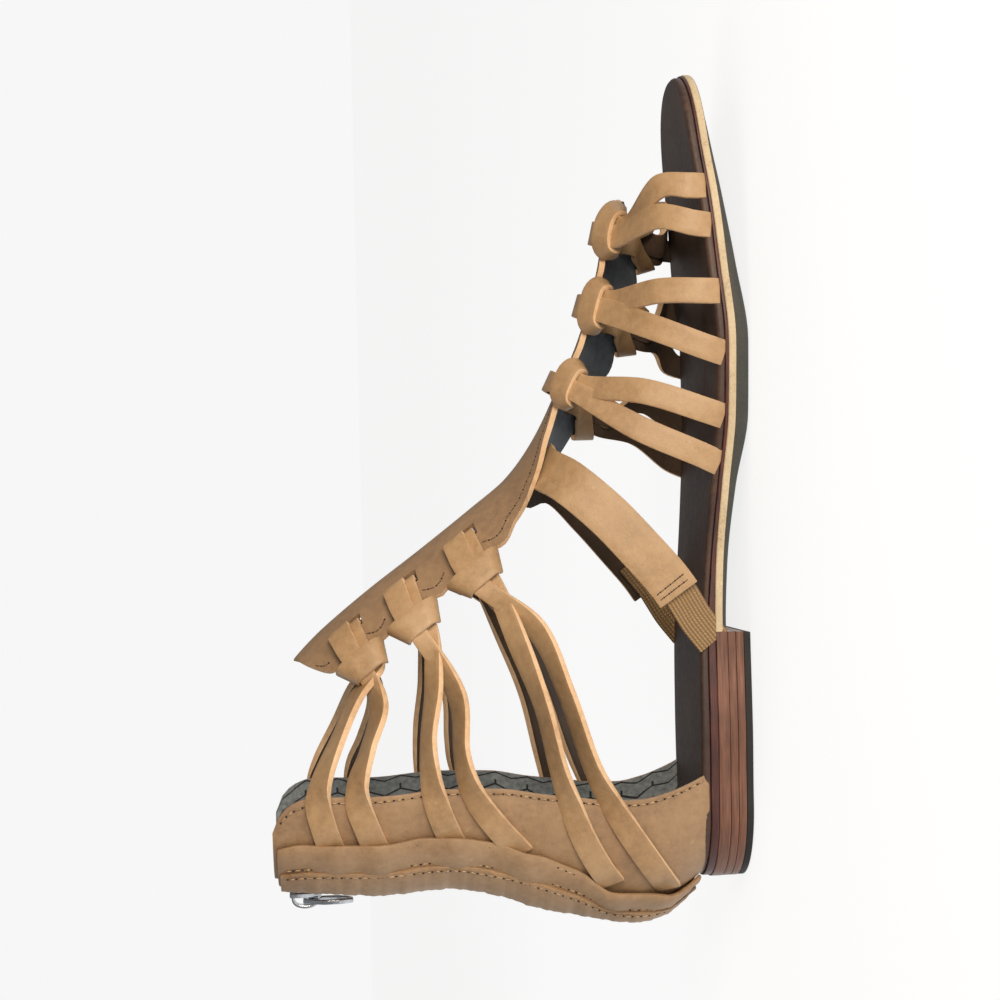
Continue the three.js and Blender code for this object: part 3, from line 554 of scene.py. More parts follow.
# The stitching: thick brown thread, a seam along each edge, 2.1 mm stitches that sink a little.
random.seed(11)


def waxed_thread(name, colour, dark):
    """Waxed thread: twisted plies with dark between them.

    Real plies are about 0.3 mm, and they are drawn three times as coarse, so that they show.
    """
    finish, shader = new_finish(name, Roughness=0.55, IOR=1.5)
    place = node(finish, "TexCoord", {}, "Object")
    twist = node(finish, "TexNoise", {"Vector": place, "Scale": 1 / (0.9 * MM), "Detail": 3.0})
    plug_in(
        shader,
        Base_Color=node(finish, "ValToRGB", {0: twist, "stops": [(0.35, dark), (0.6, colour)]}),
        Normal=node(finish, "Bump", {"Strength": 0.5, "Distance": 0.1 * MM, "Height": twist}))
    return finish


# Painted shade of the needle's holes: dark dots sunk between the stitches.
needle_hole_painted_shade = waxed_thread("needle_hole_shadow", "#2A1C12", "#1A110A")
# Brown waxed thread: a little darker than the leather, so that the seam shows as a fine line.
brown_thread = waxed_thread("brown_waxed_thread", "#7A5A3C", "#3A281A")
# Tan waxed thread: lighter than the leather and slightly shiny.
tan_thread = waxed_thread("tan_waxed_thread", "#C9A67C", "#7A5C3E")


# How far each stitch slants at random, and the length of the dot of painted shade in each needle hole.
SLANT, HOLE_SHADE = 0.1, 0.85


def joined(pieces, name):
    """One piece made of several."""
    pick(*pieces)
    if len(pieces) > 1:
        bpy.ops.object.join()
    pieces[0].name = name
    return pieces[0]


def stitch_row(name, line, thread, stitch, gap, width, sink, start):
    """Stitches along a line of (place, way off the face), in millimetres."""
    bpy.ops.object.select_all(action="DESELECT")
    bpy.ops.mesh.primitive_uv_sphere_add(segments=7, ring_count=5, radius=0.5)
    first = bpy.context.active_object
    first.data.transform(Matrix.Diagonal((stitch * MM, width * MM, width * 0.75 * MM, 1)))
    lengths = [0.0]
    for (a, _), (b, _) in zip(line, line[1:]):
        lengths.append(lengths[-1] + (b - a).length)
    stitches = []
    at = start
    k = 0
    while at < lengths[-1] - stitch / 2:
        while lengths[k + 1] < at:
            k += 1
        share = (at - lengths[k]) / (lengths[k + 1] - lengths[k])
        place = line[k][0].lerp(line[k + 1][0], share)
        off = line[k][1].lerp(line[k + 1][1], share).normalized()
        way = (line[k + 1][0] - line[k][0]).normalized()
        across = off.cross(way).normalized()
        turned = (way + across * random.uniform(-SLANT, SLANT)).normalized()
        across = off.cross(turned).normalized()
        basis = Matrix((turned, across, off)).transposed().to_4x4()
        centre = spot(*(place - off * sink))
        made = first.copy()
        made.data = first.data.copy()
        made.data.transform(Matrix.Translation(centre) @ basis)
        bpy.context.scene.collection.objects.link(made)
        stitches.append(made)
        at += stitch + gap
    bpy.data.objects.remove(first)
    row = joined(stitches, name)
    bpy.ops.object.shade_smooth()
    fitted(row, [thread])


def seam(name, line, thread, slot, stitch=2.1, gap=0.75, width=0.62, sink=0.08):
    """A row of stitches with a dark dot of painted shade for the needle hole between each two."""
    stitch_row(name, line, thread, stitch, gap, width, sink, gap / 2 + stitch / 2)
    stitch_row(name + "_holes", line, needle_hole_painted_shade, HOLE_SHADE, stitch + gap - HOLE_SHADE, width * 1.1, sink * 0.5,
               stitch + gap)


def plate_line(side, low, high, inset):
    """A line on the plate's face inside its edge, between two places along it."""
    line = []
    count = 90
    for i in range(count + 1):
        x = low + (high - low) * i / count
        half = plate_half(x)
        point, _, _, off = plate_at(x, side * (1 - inset / half), half)
        line.append((point + off * 0.9, off))
    return line


# The seam stops at each hitch: these are the ends of its stretches.
STRETCHES = [
    (74.5, 78.6), (87.3, 92.6), (100.7, 106.6), (114.8, 150.5), (161, 175.8), (186, 200.2), (211, 214.5),
]
SEAM_INSET = 2.0
for side, word in ((-1, "inner"), (1, "outer")):
    for k, (low, high) in enumerate(STRETCHES, 1):
        seam(f"plate_seam_{word}_{k}", plate_line(side, low, high, SEAM_INSET), brown_thread, "plate_leather")

# ---- Hitched straps -----------------------------------------------------------------------------------
# Twelve straps of tan leather, 7.8 mm wide and 1.9 mm thick, with raw cut edges. Each is doubled and hitched
# round the bar between a slot and the plate's edge: both tails come up through the slot, lie over the bar
# and pass out under the loop. Forefoot tails are glued in the sole, ankle tails are sewn to the quarter.
STRAP_WIDTH = 7.8
STRAP_THICK = 1.9
STACK = 1.95
# One half of an ankle hitch from the middle of the loop: far edge of the strap, near edge, and stack.
# Each edge is along the plate, out past the plate's edge, and lift off it. The rear half is the upper
# one, raised by stack times STACK.
ANKLE_HITCH = [
    ((0.0, 11.4, 3.4), (0.0, 3.6, 5.4), 0),
    ((2.8, 11.4, 3.4), (4.8, 3.6, 5.3), 0),
    ((4.5, 11.2, 2.8), (7.6, 3.4, 4.6), 0),
    ((5.3, 10.6, 1.2), (8.8, 3.0, 2.6), 0),
    ((5.3, 9.6, -0.8), (8.9, 2.2, 0.2), 0),
    ((4.6, 7.6, -2.4), (8.4, 0.4, -2.2), 0),
    ((3.2, 4.2, -3.0), (7.6, -1.6, -3.1), -0.4),
    ((0.0, -1.4, -3.0), (6.6, -4.2, -3.0), -1),
    ((-2.3, -4.9, -2.4), (5.5, -5.2, -2.4), -1),
    ((-2.4, -6.2, 0.0), (5.4, -6.2, 0.0), 0),
    ((-2.4, -5.2, 2.0), (5.4, -5.2, 2.0), 1),
    ((-2.4, -3.0, 2.2), (5.4, -3.0, 2.2), 1),
    ((-2.4, 0.4, 2.1), (5.4, 0.4, 2.1), 1),
    ((-2.2, 5.0, 1.2), (5.2, 5.0, 1.2), 1),
    ((-1.4, 10.2, 0.0), (4.8, 10.2, 0.0), 0.9),
]
# The forefoot hitches lie lower: their tails bend down over the bar and the cross band leans with them.
FOREFOOT_HITCH = [
    ((0.0, 8.8, -0.9), (0.0, 3.0, 3.9), 0),
    ((3.2, 8.8, -1.0), (4.4, 3.0, 3.7), 0),
    ((5.2, 8.5, -1.5), (7.2, 2.8, 2.5), 0),
    ((6.0, 7.8, -2.6), (8.6, 2.4, 0.8), 0),
    ((6.0, 6.4, -3.9), (8.6, 1.2, -1.4), 0),
    ((5.0, 3.8, -4.3), (8.2, -1.4, -3.0), -0.2),
    ((1.6, -2.0, -3.3), (6.8, -5.4, -3.0), -0.8),
    ((-1.6, -6.2, -3.0), (5.8, -7.0, -3.0), -1),
    ((-2.4, -7.6, -2.2), (5.4, -7.8, -2.2), -1),
    ((-2.4, -8.8, 0.0), (5.4, -8.8, 0.0), 0),
    ((-2.4, -7.8, 2.0), (5.4, -7.8, 2.0), 1),
    ((-2.4, -5.0, 2.2), (5.4, -5.0, 2.2), 1),
    ((-2.4, -1.0, 1.8), (5.4, -1.0, 1.8), 1),
    ((-2.4, 3.0, 0.6), (5.4, 3.0, 0.6), 1),
    ((-2.4, 6.0, -1.8), (5.4, 6.0, -1.8), 1),
    ((-2.4, 8.8, -4.6), (5.4, 8.8, -4.6), 0.9),
]
# Forefoot tails: place along the sole at mid height and at the sole, of the front tail and the rear one.
FOREFOOT_TAILS = [
    ((216.5, 215.9), (207, 203.6)), ((184, 183.3), (172.5, 164.4)), ((153.5, 145.3), (142.5, 131)),
]
# The tail bows out to this share of its way, stands this share of its height above its foot there, and
# goes straight down over the last few millimetres.
TAIL_OUT, TAIL_UP, TAIL_FOOT = 0.78, 0.58, 5.5
# Ankle tails, front and rear: places round the leg, then on the quarter, where None stands for how far out
# it lies.
ANKLE_TAILS = [
    (
        [(76.3, 31, 71.7), (57.7, 33.5, 65.2), (38, 32, 60.5), (27, None, 57), (17.4, None, 53.3),
         (7, None, 47.4), (1.5, None, 43.5)],
        [(81.4, 30, 66.4), (61.6, 33.5, 57.9), (38.5, 32, 50.2), (28, None, 45), (18.9, None, 39.5),
         (6, None, 30.4), (-1, None, 25.6)],
    ),
    (
        [(64.7, 29, 98.2), (48.6, 32, 100.3), (37, 32, 99.8), (30, None, 98.5), (24, None, 96.5),
         (14.5, None, 92.4)],
        [(61, 29, 91), (44.1, 32, 90.2), (36, 32, 88.6), (29, None, 85.5), (20.5, None, 79),
         (12, None, 71.8)],
    ),
    (
        [(62.5, 25, 121.4), (50.7, 30, 127.2), (37, 32.4, 133), (30, None, 134.2), (22, None, 132.4),
         (13, None, 129.6)],
        [(59, 25, 115), (46, 30.5, 118.8), (36, 32.4, 122), (29.5, None, 122), (22, None, 119.4),
         (13, None, 116)],
    ),
]
# How far a tail lies off the quarter, and its end, which dips under the zip band.
TAIL_LIFT, TAIL_END_LIFT = 1.3, -0.2
# Outer face of the back quarter at a height: its back, depth of its round back, half width, front, seam.
QUARTER = [
    (13.8, 1.2, 26, 28, 35.6, 3.4), (20, -4, 30, 28.3, 32.4, -0.6), (28, -8.6, 33, 28.5, 29.4, -1.2),
    (36, -10, 34, 28.6, 27.8, -1), (44, -9, 34, 28.6, 27.9, 0.4), (53, -7, 33, 28.6, 29, 6),
    (66, -4, 31, 28.6, 30.6, 12), (78, 0, 29, 29, 32.6, 16), (95, 2.6, 28, 29.5, 33, 19.2),
    (117, 1.6, 28.5, 30, 31.4, 17.6), (136, 2.2, 29, 30, 31.8, 18), (142, 2.8, 28.5, 30, 30, 17.6),
    (146, 3.4, 28, 30, 26.5, 17), (148.4, 3.8, 27.6, 29.8, 21, 16.6),
]
BACK, DEPTH, HALF, FRONT, SEAM = 1, 2, 3, 4, 5


def turn_of(z, x):
    """Where a place lies round the quarter: 0 at the centre back, 1 where the round back ends."""
    share = (x - between(QUARTER, z, BACK)) / between(QUARTER, z, DEPTH)
    return math.acos(1 - max(share, 0)) / (math.pi / 2) if share < 1 else share


def quarter_at(z, turn, side, lift):
    """Place on the quarter's outer face, lifted off it."""
    back, depth, half = (between(QUARTER, z, c) for c in (BACK, DEPTH, HALF))
    angle = min(turn, 1) * math.pi / 2
    x = back + depth * (1 - math.cos(angle)) + depth * max(0.0, turn - 1)
    out = Vector((-half * math.cos(angle), depth * math.sin(angle))).normalized()
    return Vector((x + out.x * lift, side * (half * math.sin(angle) + out.y * lift), z))


def eased(controls, steps):
    """A smooth line through pairs of edge places, spaced by how far apart their middles are."""
    middles = [(a + b) / 2 for a, b in controls]
    knots = [0.0]
    for a, b in zip(middles, middles[1:]):
        knots.append(knots[-1] + max((b - a).length, 0.2) ** 0.5)
    first = tuple(2 * a - b for a, b in zip(controls[0], controls[1]))
    last = tuple(2 * a - b for a, b in zip(controls[-1], controls[-2]))
    places = [first, *controls, last]
    times = [2 * knots[0] - knots[1], *knots, 2 * knots[-1] - knots[-2]]
    line = []
    for i in range(1, len(places) - 2):
        t0, t1, t2, t3 = times[i - 1:i + 3]
        count = max(2, round((middles[i] - middles[i - 1]).length / steps))
        for k in range(count + (i == len(places) - 3)):
            t = t1 + (t2 - t1) * k / count
            made = []
            for e in (0, 1):
                p0, p1, p2, p3 = (places[j][e] for j in range(i - 1, i + 3))
                a1 = p0 * ((t1 - t) / (t1 - t0)) + p1 * ((t - t0) / (t1 - t0))
                a2 = p1 * ((t2 - t) / (t2 - t1)) + p2 * ((t - t1) / (t2 - t1))
                a3 = p2 * ((t3 - t) / (t3 - t2)) + p3 * ((t - t2) / (t3 - t2))
                b1 = a1 * ((t2 - t) / (t2 - t0)) + a2 * ((t - t0) / (t2 - t0))
                b2 = a2 * ((t3 - t) / (t3 - t1)) + a3 * ((t - t1) / (t3 - t1))
                made.append(b1 * ((t2 - t) / (t2 - t1)) + b2 * ((t - t1) / (t2 - t1)))
            line.append(tuple(made))
    return line


def strap_blank(name, edges, thick, finishes, face_place, face_way):
    """A flat strap laid between two edges, thickened, its cut edges just broken."""
    def lay(u, v):
        a, b = edges[round(v * (len(edges) - 1))]
        return a.lerp(b, u)

    blank = cut_sheet(name, 4, len(edges) - 1, lay)
    upward(blank, face_place, face_way)
    wear(blank, *finishes)
    worked(blank, "SOLIDIFY", thickness=thick * MM, offset=0, use_even_offset=False,
           material_offset=1, material_offset_rim=2)
    broken_edges(blank, 0.3, 2, 50)
    shaded(blank, 40)
    return blank


def route_edges(points, ways, width):
    """Edges along a route whose width looks along each of these ways in turn."""
    made = []
    for i, p in enumerate(points):
        way = (points[min(i + 1, len(points) - 1)] - points[max(i - 1, 0)]).normalized()
        at = i / (len(points) - 1) * (len(ways) - 1)
        k = min(int(at), len(ways) - 2)
        across = ways[k].lerp(ways[k + 1], at - k)
        across = (across - way * across.dot(way)).normalized()
        made.append((p - across * width / 2, p + across * width / 2))
    return made


def hitch_half(row, side, half):
    """Edges of one half of a strap: from the middle of the loop, through the slot, to its tail's end."""
    forefoot = row < 3
    table = FOREFOOT_HITCH if forefoot else ANKLE_HITCH
    upper = half < 0
    made = []
    for far, near, stack in table:
        pair = []
        for along, out, lift in (far, near):
            point, _, _, off = at_hitch(row, side, half * along, out, lift)
            pair.append(point + off * (stack * STACK if upper else 0))
        made.append(tuple(pair))
    leave = (made[-1][0] + made[-1][1]) / 2
    way = plate_at(HITCHES[row], side)[1]
    if forefoot:
        mid, foot = FOREFOOT_TAILS[row][1 if upper else 0]
        seat = Vector((foot, sole_edge(foot, side, 1.3), between(SOLE_HEIGHTS, foot, MIDSOLE_TOP)))
        y = leave.y + (seat.y - leave.y) * TAIL_OUT
        z = seat.z + (leave.z - seat.z) * TAIL_UP
        near = seat + Vector(((mid - foot) * 0.22, side * 0.3, TAIL_FOOT))
        points = [leave, Vector((mid, y, z)), near, seat + Vector((0, -side * 0.4, 0.2))]
        slope = sole_edge(foot + 1, side) - sole_edge(foot - 1, side)
        ways = [way, way, Vector((1, slope / 2, 0)).normalized()]
    else:
        points = [leave]
        tail = ANKLE_TAILS[row - 3][1 if upper else 0]
        for k, (x, y, z) in enumerate(tail, 1):
            lift = TAIL_END_LIFT if k == len(tail) else TAIL_LIFT
            points.append(Vector((x, side * y, z)) if y else quarter_at(z, turn_of(z, x), side, lift))
        turned = Vector((0.2, side * 0.85, -0.45)).normalized()
        half_turned = (turned + Vector((0, 0, -1))).normalized()
        ways = [way, turned, turned, half_turned, Vector((0, 0, -1)), Vector((0, 0, -1))]
    for low, high in route_edges(points, ways, STRAP_WIDTH)[1:]:
        made.append((high, low) if upper else (low, high))
    return made


# Smooth tan strap leather: warmer and lighter than the plate, rubbed paler in places, satin.
strap_leather = smooth_leather(
    "tan_strap_leather", [(0.3, "#94734F"), (0.5, "#B08C64"), (0.7, "#C09E76")], 0.9, 0.5, 0.1, "#C9AC84")
# The flesh side of the same leather: coarse and without shine; its dark brown is painted shade,
# which darkens the straps' inner faces and the straps on the far side.
strap_flesh_painted_shade = smooth_leather(
    "brown_flesh_side_painted_shade", [(0.3, "#2E241C"), (0.5, "#443426"), (0.7, "#5A4430")], 0.6, 0.8)
strap_faces = (strap_leather, strap_flesh_painted_shade, cut_edge)
for row in range(len(HITCHES)):
    for side, word in ((-1, "medial"), (1, "lateral")):
        front = hitch_half(row, side, 1)
        rear = hitch_half(row, side, -1)
        edges = eased([*reversed(front), *rear[1:]], 1.3)
        loop = (front[0][0] + front[0][1]) / 2
        off = plate_at(HITCHES[row], side)[3]
        strap = strap_blank(f"hitched_strap_{row + 1}_{word}", edges, STRAP_THICK, strap_faces, loop, off)
        fitted(strap, nodes=[f"strap_{row + 1}_{word}"])

# ---- Instep straps and gores --------------------------------------------------------------------------
# A wider tan strap comes out from under the plate on each side and ends over a short ribbed elastic gore,
# sewn to it with two rows of stitches. The gore is glued in the sole and lets the strap give.
INSTEP_WIDTH, INSTEP_THICK = 14.0, 2.0
GORE_WIDTH, GORE_THICK = 11.0, 1.6
# The strap's start under the plate: place along it, share of its half width, and lift off it.
INSTEP_ROOT = [(134.5, 0.5, -3.6), (132.6, 0.86, -3.4)]
INSTEP_ROUTE = [(126.5, 21.5, 55), (116, 26.6, 43.4), (105, 30.0, 33.6), (96, 31.2, 26), (90.8, 31.6, 22.4)]
GORE_ROUTE = [
    (100.5, 28.9, 29.0), (96, 29.5, 25.4), (92, 29.5, 22.2), (87, 29.2, 19.2), (83, 28.8, 16.8),
    (76, 28.3, 11.4),
]
# Woven elastic: matt tan, with ribs along it and finer picks across, drawn coarser than real to show.
elastic, shader = new_finish("ribbed_tan_elastic", Roughness=0.85, IOR=1.45)
strands = node(elastic, "UVMap", {})
ribs = node(elastic, "TexWave", {
    "Vector": strands, "wave_type": "BANDS", "bands_direction": "X",
    "Scale": 3.2, "Distortion": 0.8, "Detail": 1.0})
picks = node(elastic, "TexWave", {
    "Vector": strands, "wave_type": "BANDS", "bands_direction": "Y",
    "Scale": 9.0, "Distortion": 1.5, "Detail": 1.0})
weave = node(elastic, "MixRGB", {"blend_type": "MULTIPLY", "Fac": 0.7, "Color1": ribs, "Color2": picks})
plug_in(
    shader,
    Base_Color=node(elastic, "ValToRGB", {0: weave, "stops": [(0.0, "#7A6044"), (0.5, "#AE8C62")]}),
    Normal=node(elastic, "Bump", {"Strength": 0.8, "Distance": 0.5 * MM, "Height": weave}))

for side, word in ((-1, "medial"), (1, "lateral")):
    points = []
    for x, across, lift in INSTEP_ROOT:
        point, _, _, off = plate_at(x, side * across)
        points.append(point + off * lift)
    points += [Vector((x, side * y, z)) for x, y, z in INSTEP_ROUTE]
    first_way, last_way = Vector((0.78, 0, -0.63)), Vector((1, 0, -0.25))
    edges = eased(route_edges(points, [first_way, first_way, last_way], INSTEP_WIDTH), 2)
    strap = strap_blank(
        f"instep_strap_piece_{word}", edges, INSTEP_THICK, strap_faces, points[-2], (0, side, 0.2))
    fitted(strap, nodes=[f"instep_strap_{word}"])
    points = [Vector((x, side * y, z)) for x, y, z in GORE_ROUTE]
    gore_edges = eased(route_edges(points, [Vector((0.9, 0, -0.43)), last_way], GORE_WIDTH), 1.2)
    gore = strap_blank(
        f"elastic_gore_{word}", gore_edges, GORE_THICK, [elastic] * 3, points[3], (0, side, 0.2))
    fitted(gore, nodes=[f"gore_{word}"])
    for k, back in ((1, 3), (2, 5)):
        a, b = edges[-1 - back // 2]
        off = Vector((0, side, 0.25)).normalized()
        line = [(a.lerp(b, s) + off * 1.05, off) for s in (0.08, 0.3, 0.5, 0.7, 0.92)]
        seam(f"gore_seam_{word}_{k}", line, brown_thread, "strap_leather", 1.3, 0.6, 0.5)

# ---- Back quarter -------------------------------------------------------------------------------------
# A tall wrap of tan leather round the heel and up the back of the leg, with a dark grey printed lining.
# Its front edge is turned and stitched. The zip is set in a slit down its centre back.
QUARTER_THICK = 1.8
QUARTER_LOW, QUARTER_HIGH = 13.8, 148.4
QUARTER_ROUND = 118.0
QUARTER_STITCH = (1.9, 0.9, 0.55)
ZIGZAG_LENGTH, ZIGZAG_SLOPE, ZIGZAG_SPACE = 10.4, 0.46, 6.5


def soft_folds(z, turn, side):
    """Low hollows and puckers in the leather, in millimetres."""
    return (0.35 * math.sin(0.19 * z + 1.3 * side + 2.0 * turn) * math.sin(2.6 * turn + 0.05 * z)
            + 0.12 * math.sin(0.55 * z + 4 * turn))


def lay_quarter(u, v):
    z = QUARTER_LOW + (QUARTER_HIGH - QUARTER_LOW) * v
    across = 2 * u - 1
    side = -1 if across < 0 else 1
    end = turn_of(z, between(QUARTER, z, FRONT))
    turn = abs(across) * end
    dip = soft_folds(z, turn, side) * min(1.0, abs(across) * 4) * (1 - abs(across) ** 6)
    return quarter_at(z, turn, side, min(dip, 0.3) - 0.2)


# Smooth tan leather, a shade darker than the straps: clouded, creased and satin.
quarter_leather = smooth_leather(
    "tan_quarter_leather", [(0.3, "#82654A"), (0.5, "#9F7E5C"), (0.7, "#B1906C")], 0.8, 0.52, 0.1, "#C4A884")
# Printed lining cloth: matt grey with fine black zigzags, 10.4 mm long and 2.4 mm deep in rows 6.5 mm apart,
# and a tick at each point.
printed_lining, shader = new_finish("printed_grey_lining", Roughness=0.7, IOR=1.45)
threads = node(printed_lining, "UVMap", {})
share_round = node(printed_lining, "SeparateXYZ", {"Vector": threads}, "X")
round_way = node(printed_lining, "Math", {"operation": "MULTIPLY", 0: share_round, 1: QUARTER_ROUND})
share_up = node(printed_lining, "SeparateXYZ", {"Vector": threads}, "Y")
up_way = node(printed_lining, "Math", {
    "operation": "MULTIPLY", 0: share_up, 1: QUARTER_HIGH - QUARTER_LOW})
zig = node(printed_lining, "Math", {"operation": "PINGPONG", 0: up_way, 1: ZIGZAG_LENGTH / 2})
deep = node(printed_lining, "Math", {"operation": "MULTIPLY_ADD", 0: zig, 1: ZIGZAG_SLOPE, 2: round_way})
row_place = node(printed_lining, "Math", {"operation": "MODULO", 0: deep, 1: ZIGZAG_SPACE})
zig_line = node(printed_lining, "Math", {"operation": "LESS_THAN", 0: row_place, 1: 0.8})
at_point = node(printed_lining, "Math", {"operation": "LESS_THAN", 0: zig, 1: 0.35})
in_tick = node(printed_lining, "Math", {"operation": "LESS_THAN", 0: row_place, 1: 2.8})
tick = node(printed_lining, "Math", {"operation": "MULTIPLY", 0: at_point, 1: in_tick})
ink = node(printed_lining, "Math", {"operation": "MAXIMUM", 0: zig_line, 1: tick})
place = node(printed_lining, "TexCoord", {}, "Object")
cloth = node(printed_lining, "TexNoise", {"Vector": place, "Scale": 1 / (1.5 * MM), "Detail": 4.0})
ground = node(printed_lining, "ValToRGB", {0: cloth, "stops": [(0.3, "#5C6266"), (0.7, "#848A8C")]})
printed = node(printed_lining, "MixRGB", {
    "blend_type": "MIX", "Fac": ink, "Color1": ground, "Color2": srgb("#15171A")})
rough_cloth = node(printed_lining, "Bump", {"Strength": 0.3, "Distance": 0.1 * MM, "Height": cloth})
plug_in(shader, Base_Color=printed, Normal=rough_cloth)

quarter = cut_sheet("back_quarter_leather", 72, 64, lay_quarter)
upward(quarter, (0, -28.6, 60), (0, -1, 0))
wear(quarter, quarter_leather, printed_lining, quarter_leather)
worked(quarter, "SOLIDIFY", thickness=QUARTER_THICK * MM, offset=-1, use_even_offset=True,
       material_offset=1, material_offset_rim=2)
# The slit for the zip, from z 25 mm out through the top edge.
SLIT_DEEP, SLIT_WIDE, SLIT_HIGH, SLIT_MIDDLE = 40, 6, 140, 95
slit = block()
for corner in slit.data.vertices:
    corner.co = spot(corner.co.x * SLIT_DEEP, corner.co.y * SLIT_WIDE, SLIT_MIDDLE + corner.co.z * SLIT_HIGH)
cut_out(quarter, slit)
broken_edges(quarter, 0.45, 3, 60)
shaded(quarter)
fitted(quarter, nodes=["back_quarter"])


def quarter_line(side, column, low, high, shift, lift, count=70):
    """A line on the quarter beside its front edge or its band's seam, shifted to the back by a length."""
    line = []
    for i in range(count + 1):
        z = low + (high - low) * i / count
        turn = turn_of(z, between(QUARTER, z, column))
        span = between(QUARTER, z, DEPTH) * math.pi / 2
        turn -= shift / span
        a = quarter_at(z, turn, side, lift)
        off = (quarter_at(z, turn, side, lift + 1) - a).normalized()
        line.append((a, off))
    return line


for side, word in ((-1, "medial"), (1, "lateral")):
    seam(f"quarter_edge_seam_{word}", quarter_line(side, FRONT, 15, 146.6, 2.3, 0.12),
         tan_thread, "quarter_leather", *QUARTER_STITCH)

# ---- Zip bands ----------------------------------------------------------------------------------------
# On each side a band of tan leather covers the straps' ends and carries the zip; it is sewn near its front
# seam and again 10 mm behind, where a folded flap starts that hides the teeth as far as the centre back.
BAND_THICK, BAND_LIFT = 1.4, 2.3
FLAP_FRONT, FLAP_THICK = 10.2, 1.3
BAND_LOW, BAND_HIGH = 14.4, 147.2


def puckers(z, side, at):
    """Small gathers along a seam, in millimetres."""
    return (0.22 * math.sin(0.9 * z + side) * math.sin(0.23 * z + 1.7) + 0.14 * math.sin(2.1 * z + 2 * at)
            + 0.3 * math.sin(0.13 * z + 0.8 * side))


def over_straps(z, u):
    """The band rises over each strap's end, in millimetres, most at its front edge."""
    ends = [tail[-1][2] for pair in ANKLE_TAILS for tail in pair]
    rise = sum(math.exp(-((z - end) / 5.5) ** 2) for end in sorted(ends))
    return 1.5 * min(rise, 1.1) * min(max((u - 0.35) / 0.4, 0.0), 1.0)


def back_turn(z, gap, more, part):
    """How near the centre back the leather comes: its gap widens by more above the height where it parts."""
    gap += more / (1 + math.exp(-(z - part) / 1.6))
    return math.asin(gap / between(QUARTER, z, HALF)) / (math.pi / 2)


for side, word in ((-1, "medial"), (1, "lateral")):
    def lay_band(u, v):
        z = BAND_LOW + (BAND_HIGH - BAND_LOW) * v
        end = turn_of(z, between(QUARTER, z, SEAM) + 0.15 * math.sin(0.5 * z))
        first = back_turn(z, 1.2, 4.0, 130)
        turn = first + (end - first) * u
        lift = BAND_LIFT + puckers(z, side, u) * math.sin(math.pi * min(1, u * 1.2))
        lift += over_straps(z, u) - 0.7 * max(0.0, (u - 0.9) / 0.1) ** 2
        return quarter_at(z, turn, side, lift)

    def lay_flap(u, v):
        z = BAND_LOW + 0.4 + (BAND_HIGH - BAND_LOW - 1.2) * v
        span = between(QUARTER, z, DEPTH) * math.pi / 2
        first = back_turn(z, 1.0, 4.8, 120)
        end = max(first + 0.02, turn_of(z, between(QUARTER, z, SEAM)) - FLAP_FRONT / span)
        turn = first + (end - first) * u
        lift = BAND_LIFT + FLAP_THICK + 0.25 + puckers(z, side, 3 + u) * 0.8
        lift += 0.5 * math.sin(math.pi * u) - 0.5 * u ** 4
        return quarter_at(z, turn, side, lift)

    band = cut_sheet(f"zip_band_leather_{word}", 16, 120, lay_band)
    upward(band, (0, side * 31, 60), (0, side, 0))
    worked(band, "SOLIDIFY", thickness=BAND_THICK * MM, offset=-1, use_even_offset=True)
    broken_edges(band, 0.4, 2, 60)
    shaded(band)
    fitted(band, [quarter_leather], [f"zip_band_{word}"])
    flap = cut_sheet(f"zip_flap_leather_{word}", 10, 120, lay_flap)
    upward(flap, (-8, side * 20, 60), (-0.6, side, 0))
    worked(flap, "SOLIDIFY", thickness=FLAP_THICK * MM, offset=-1, use_even_offset=True)
    broken_edges(flap, 0.45, 2, 60)
    shaded(flap)
    fitted(flap, [quarter_leather])
    for k, (shift, lift) in enumerate(((1.7, 2.05), (FLAP_FRONT - 1.2, 2.45), (FLAP_FRONT + 1.3, 3.75)), 1):
        seam(f"band_seam_{word}_{k}", quarter_line(side, SEAM, 17, 145, shift, lift),
             tan_thread, "quarter_leather", *QUARTER_STITCH)

# ---- Zip ----------------------------------------------------------------------------------------------
# A brown woven tape with a nylon coil, closed; a nickel-plated slider stands at its top with its bridge,
# and an angular open pull hangs from the bridge and swings on it.
# Woven polyester tape: matt brown, with its threads drawn coarser than real so that they show.
woven_tape, shader = new_finish("brown_woven_zip_tape", Roughness=0.85, IOR=1.45)
place = node(woven_tape, "TexCoord", {}, "Object")
warp = node(woven_tape, "TexWave", {
    "Vector": place, "bands_direction": "Y", "Scale": 0.16 / MM, "Distortion": 1.0})
weft = node(woven_tape, "TexWave", {
    "Vector": place, "bands_direction": "Z", "Scale": 0.2 / MM, "Distortion": 1.0})
crossed = node(woven_tape, "MixRGB", {"blend_type": "MIX", "Fac": 0.5, "Color1": warp, "Color2": weft})
plug_in(
    shader,
    Base_Color=node(woven_tape, "ValToRGB", {0: crossed, "stops": [(0.3, "#4E2E14"), (0.7, "#86552A")]}),
    Normal=node(woven_tape, "Bump", {"Strength": 0.6, "Distance": 0.2 * MM, "Height": crossed}))
# Nylon coil: brown and dull, with bright tops where each turn catches the light.
nylon = moulded_rubber("brown_nylon_coil", [(0.3, "#5A3518"), (0.7, "#8A5A2C")], 1.2)
ZIP_LOW, ZIP_HIGH, TAPE_HALF, TAPE_THICK = 27.0, 143.0, 9.0, 0.7
COIL_STEP, COIL_RADIUS, COIL_WIRE, COIL_TILT = 1.25, 1.25, 0.36, 14


def lay_tape(u, v):
    z = ZIP_LOW + (ZIP_HIGH - ZIP_LOW) * v
    y = (2 * u - 1) * TAPE_HALF
    turn = math.asin(abs(y) / between(QUARTER, z, HALF)) / (math.pi / 2)
    return quarter_at(z, turn, 1 if y > 0 else -1, -QUARTER_THICK - 0.9)


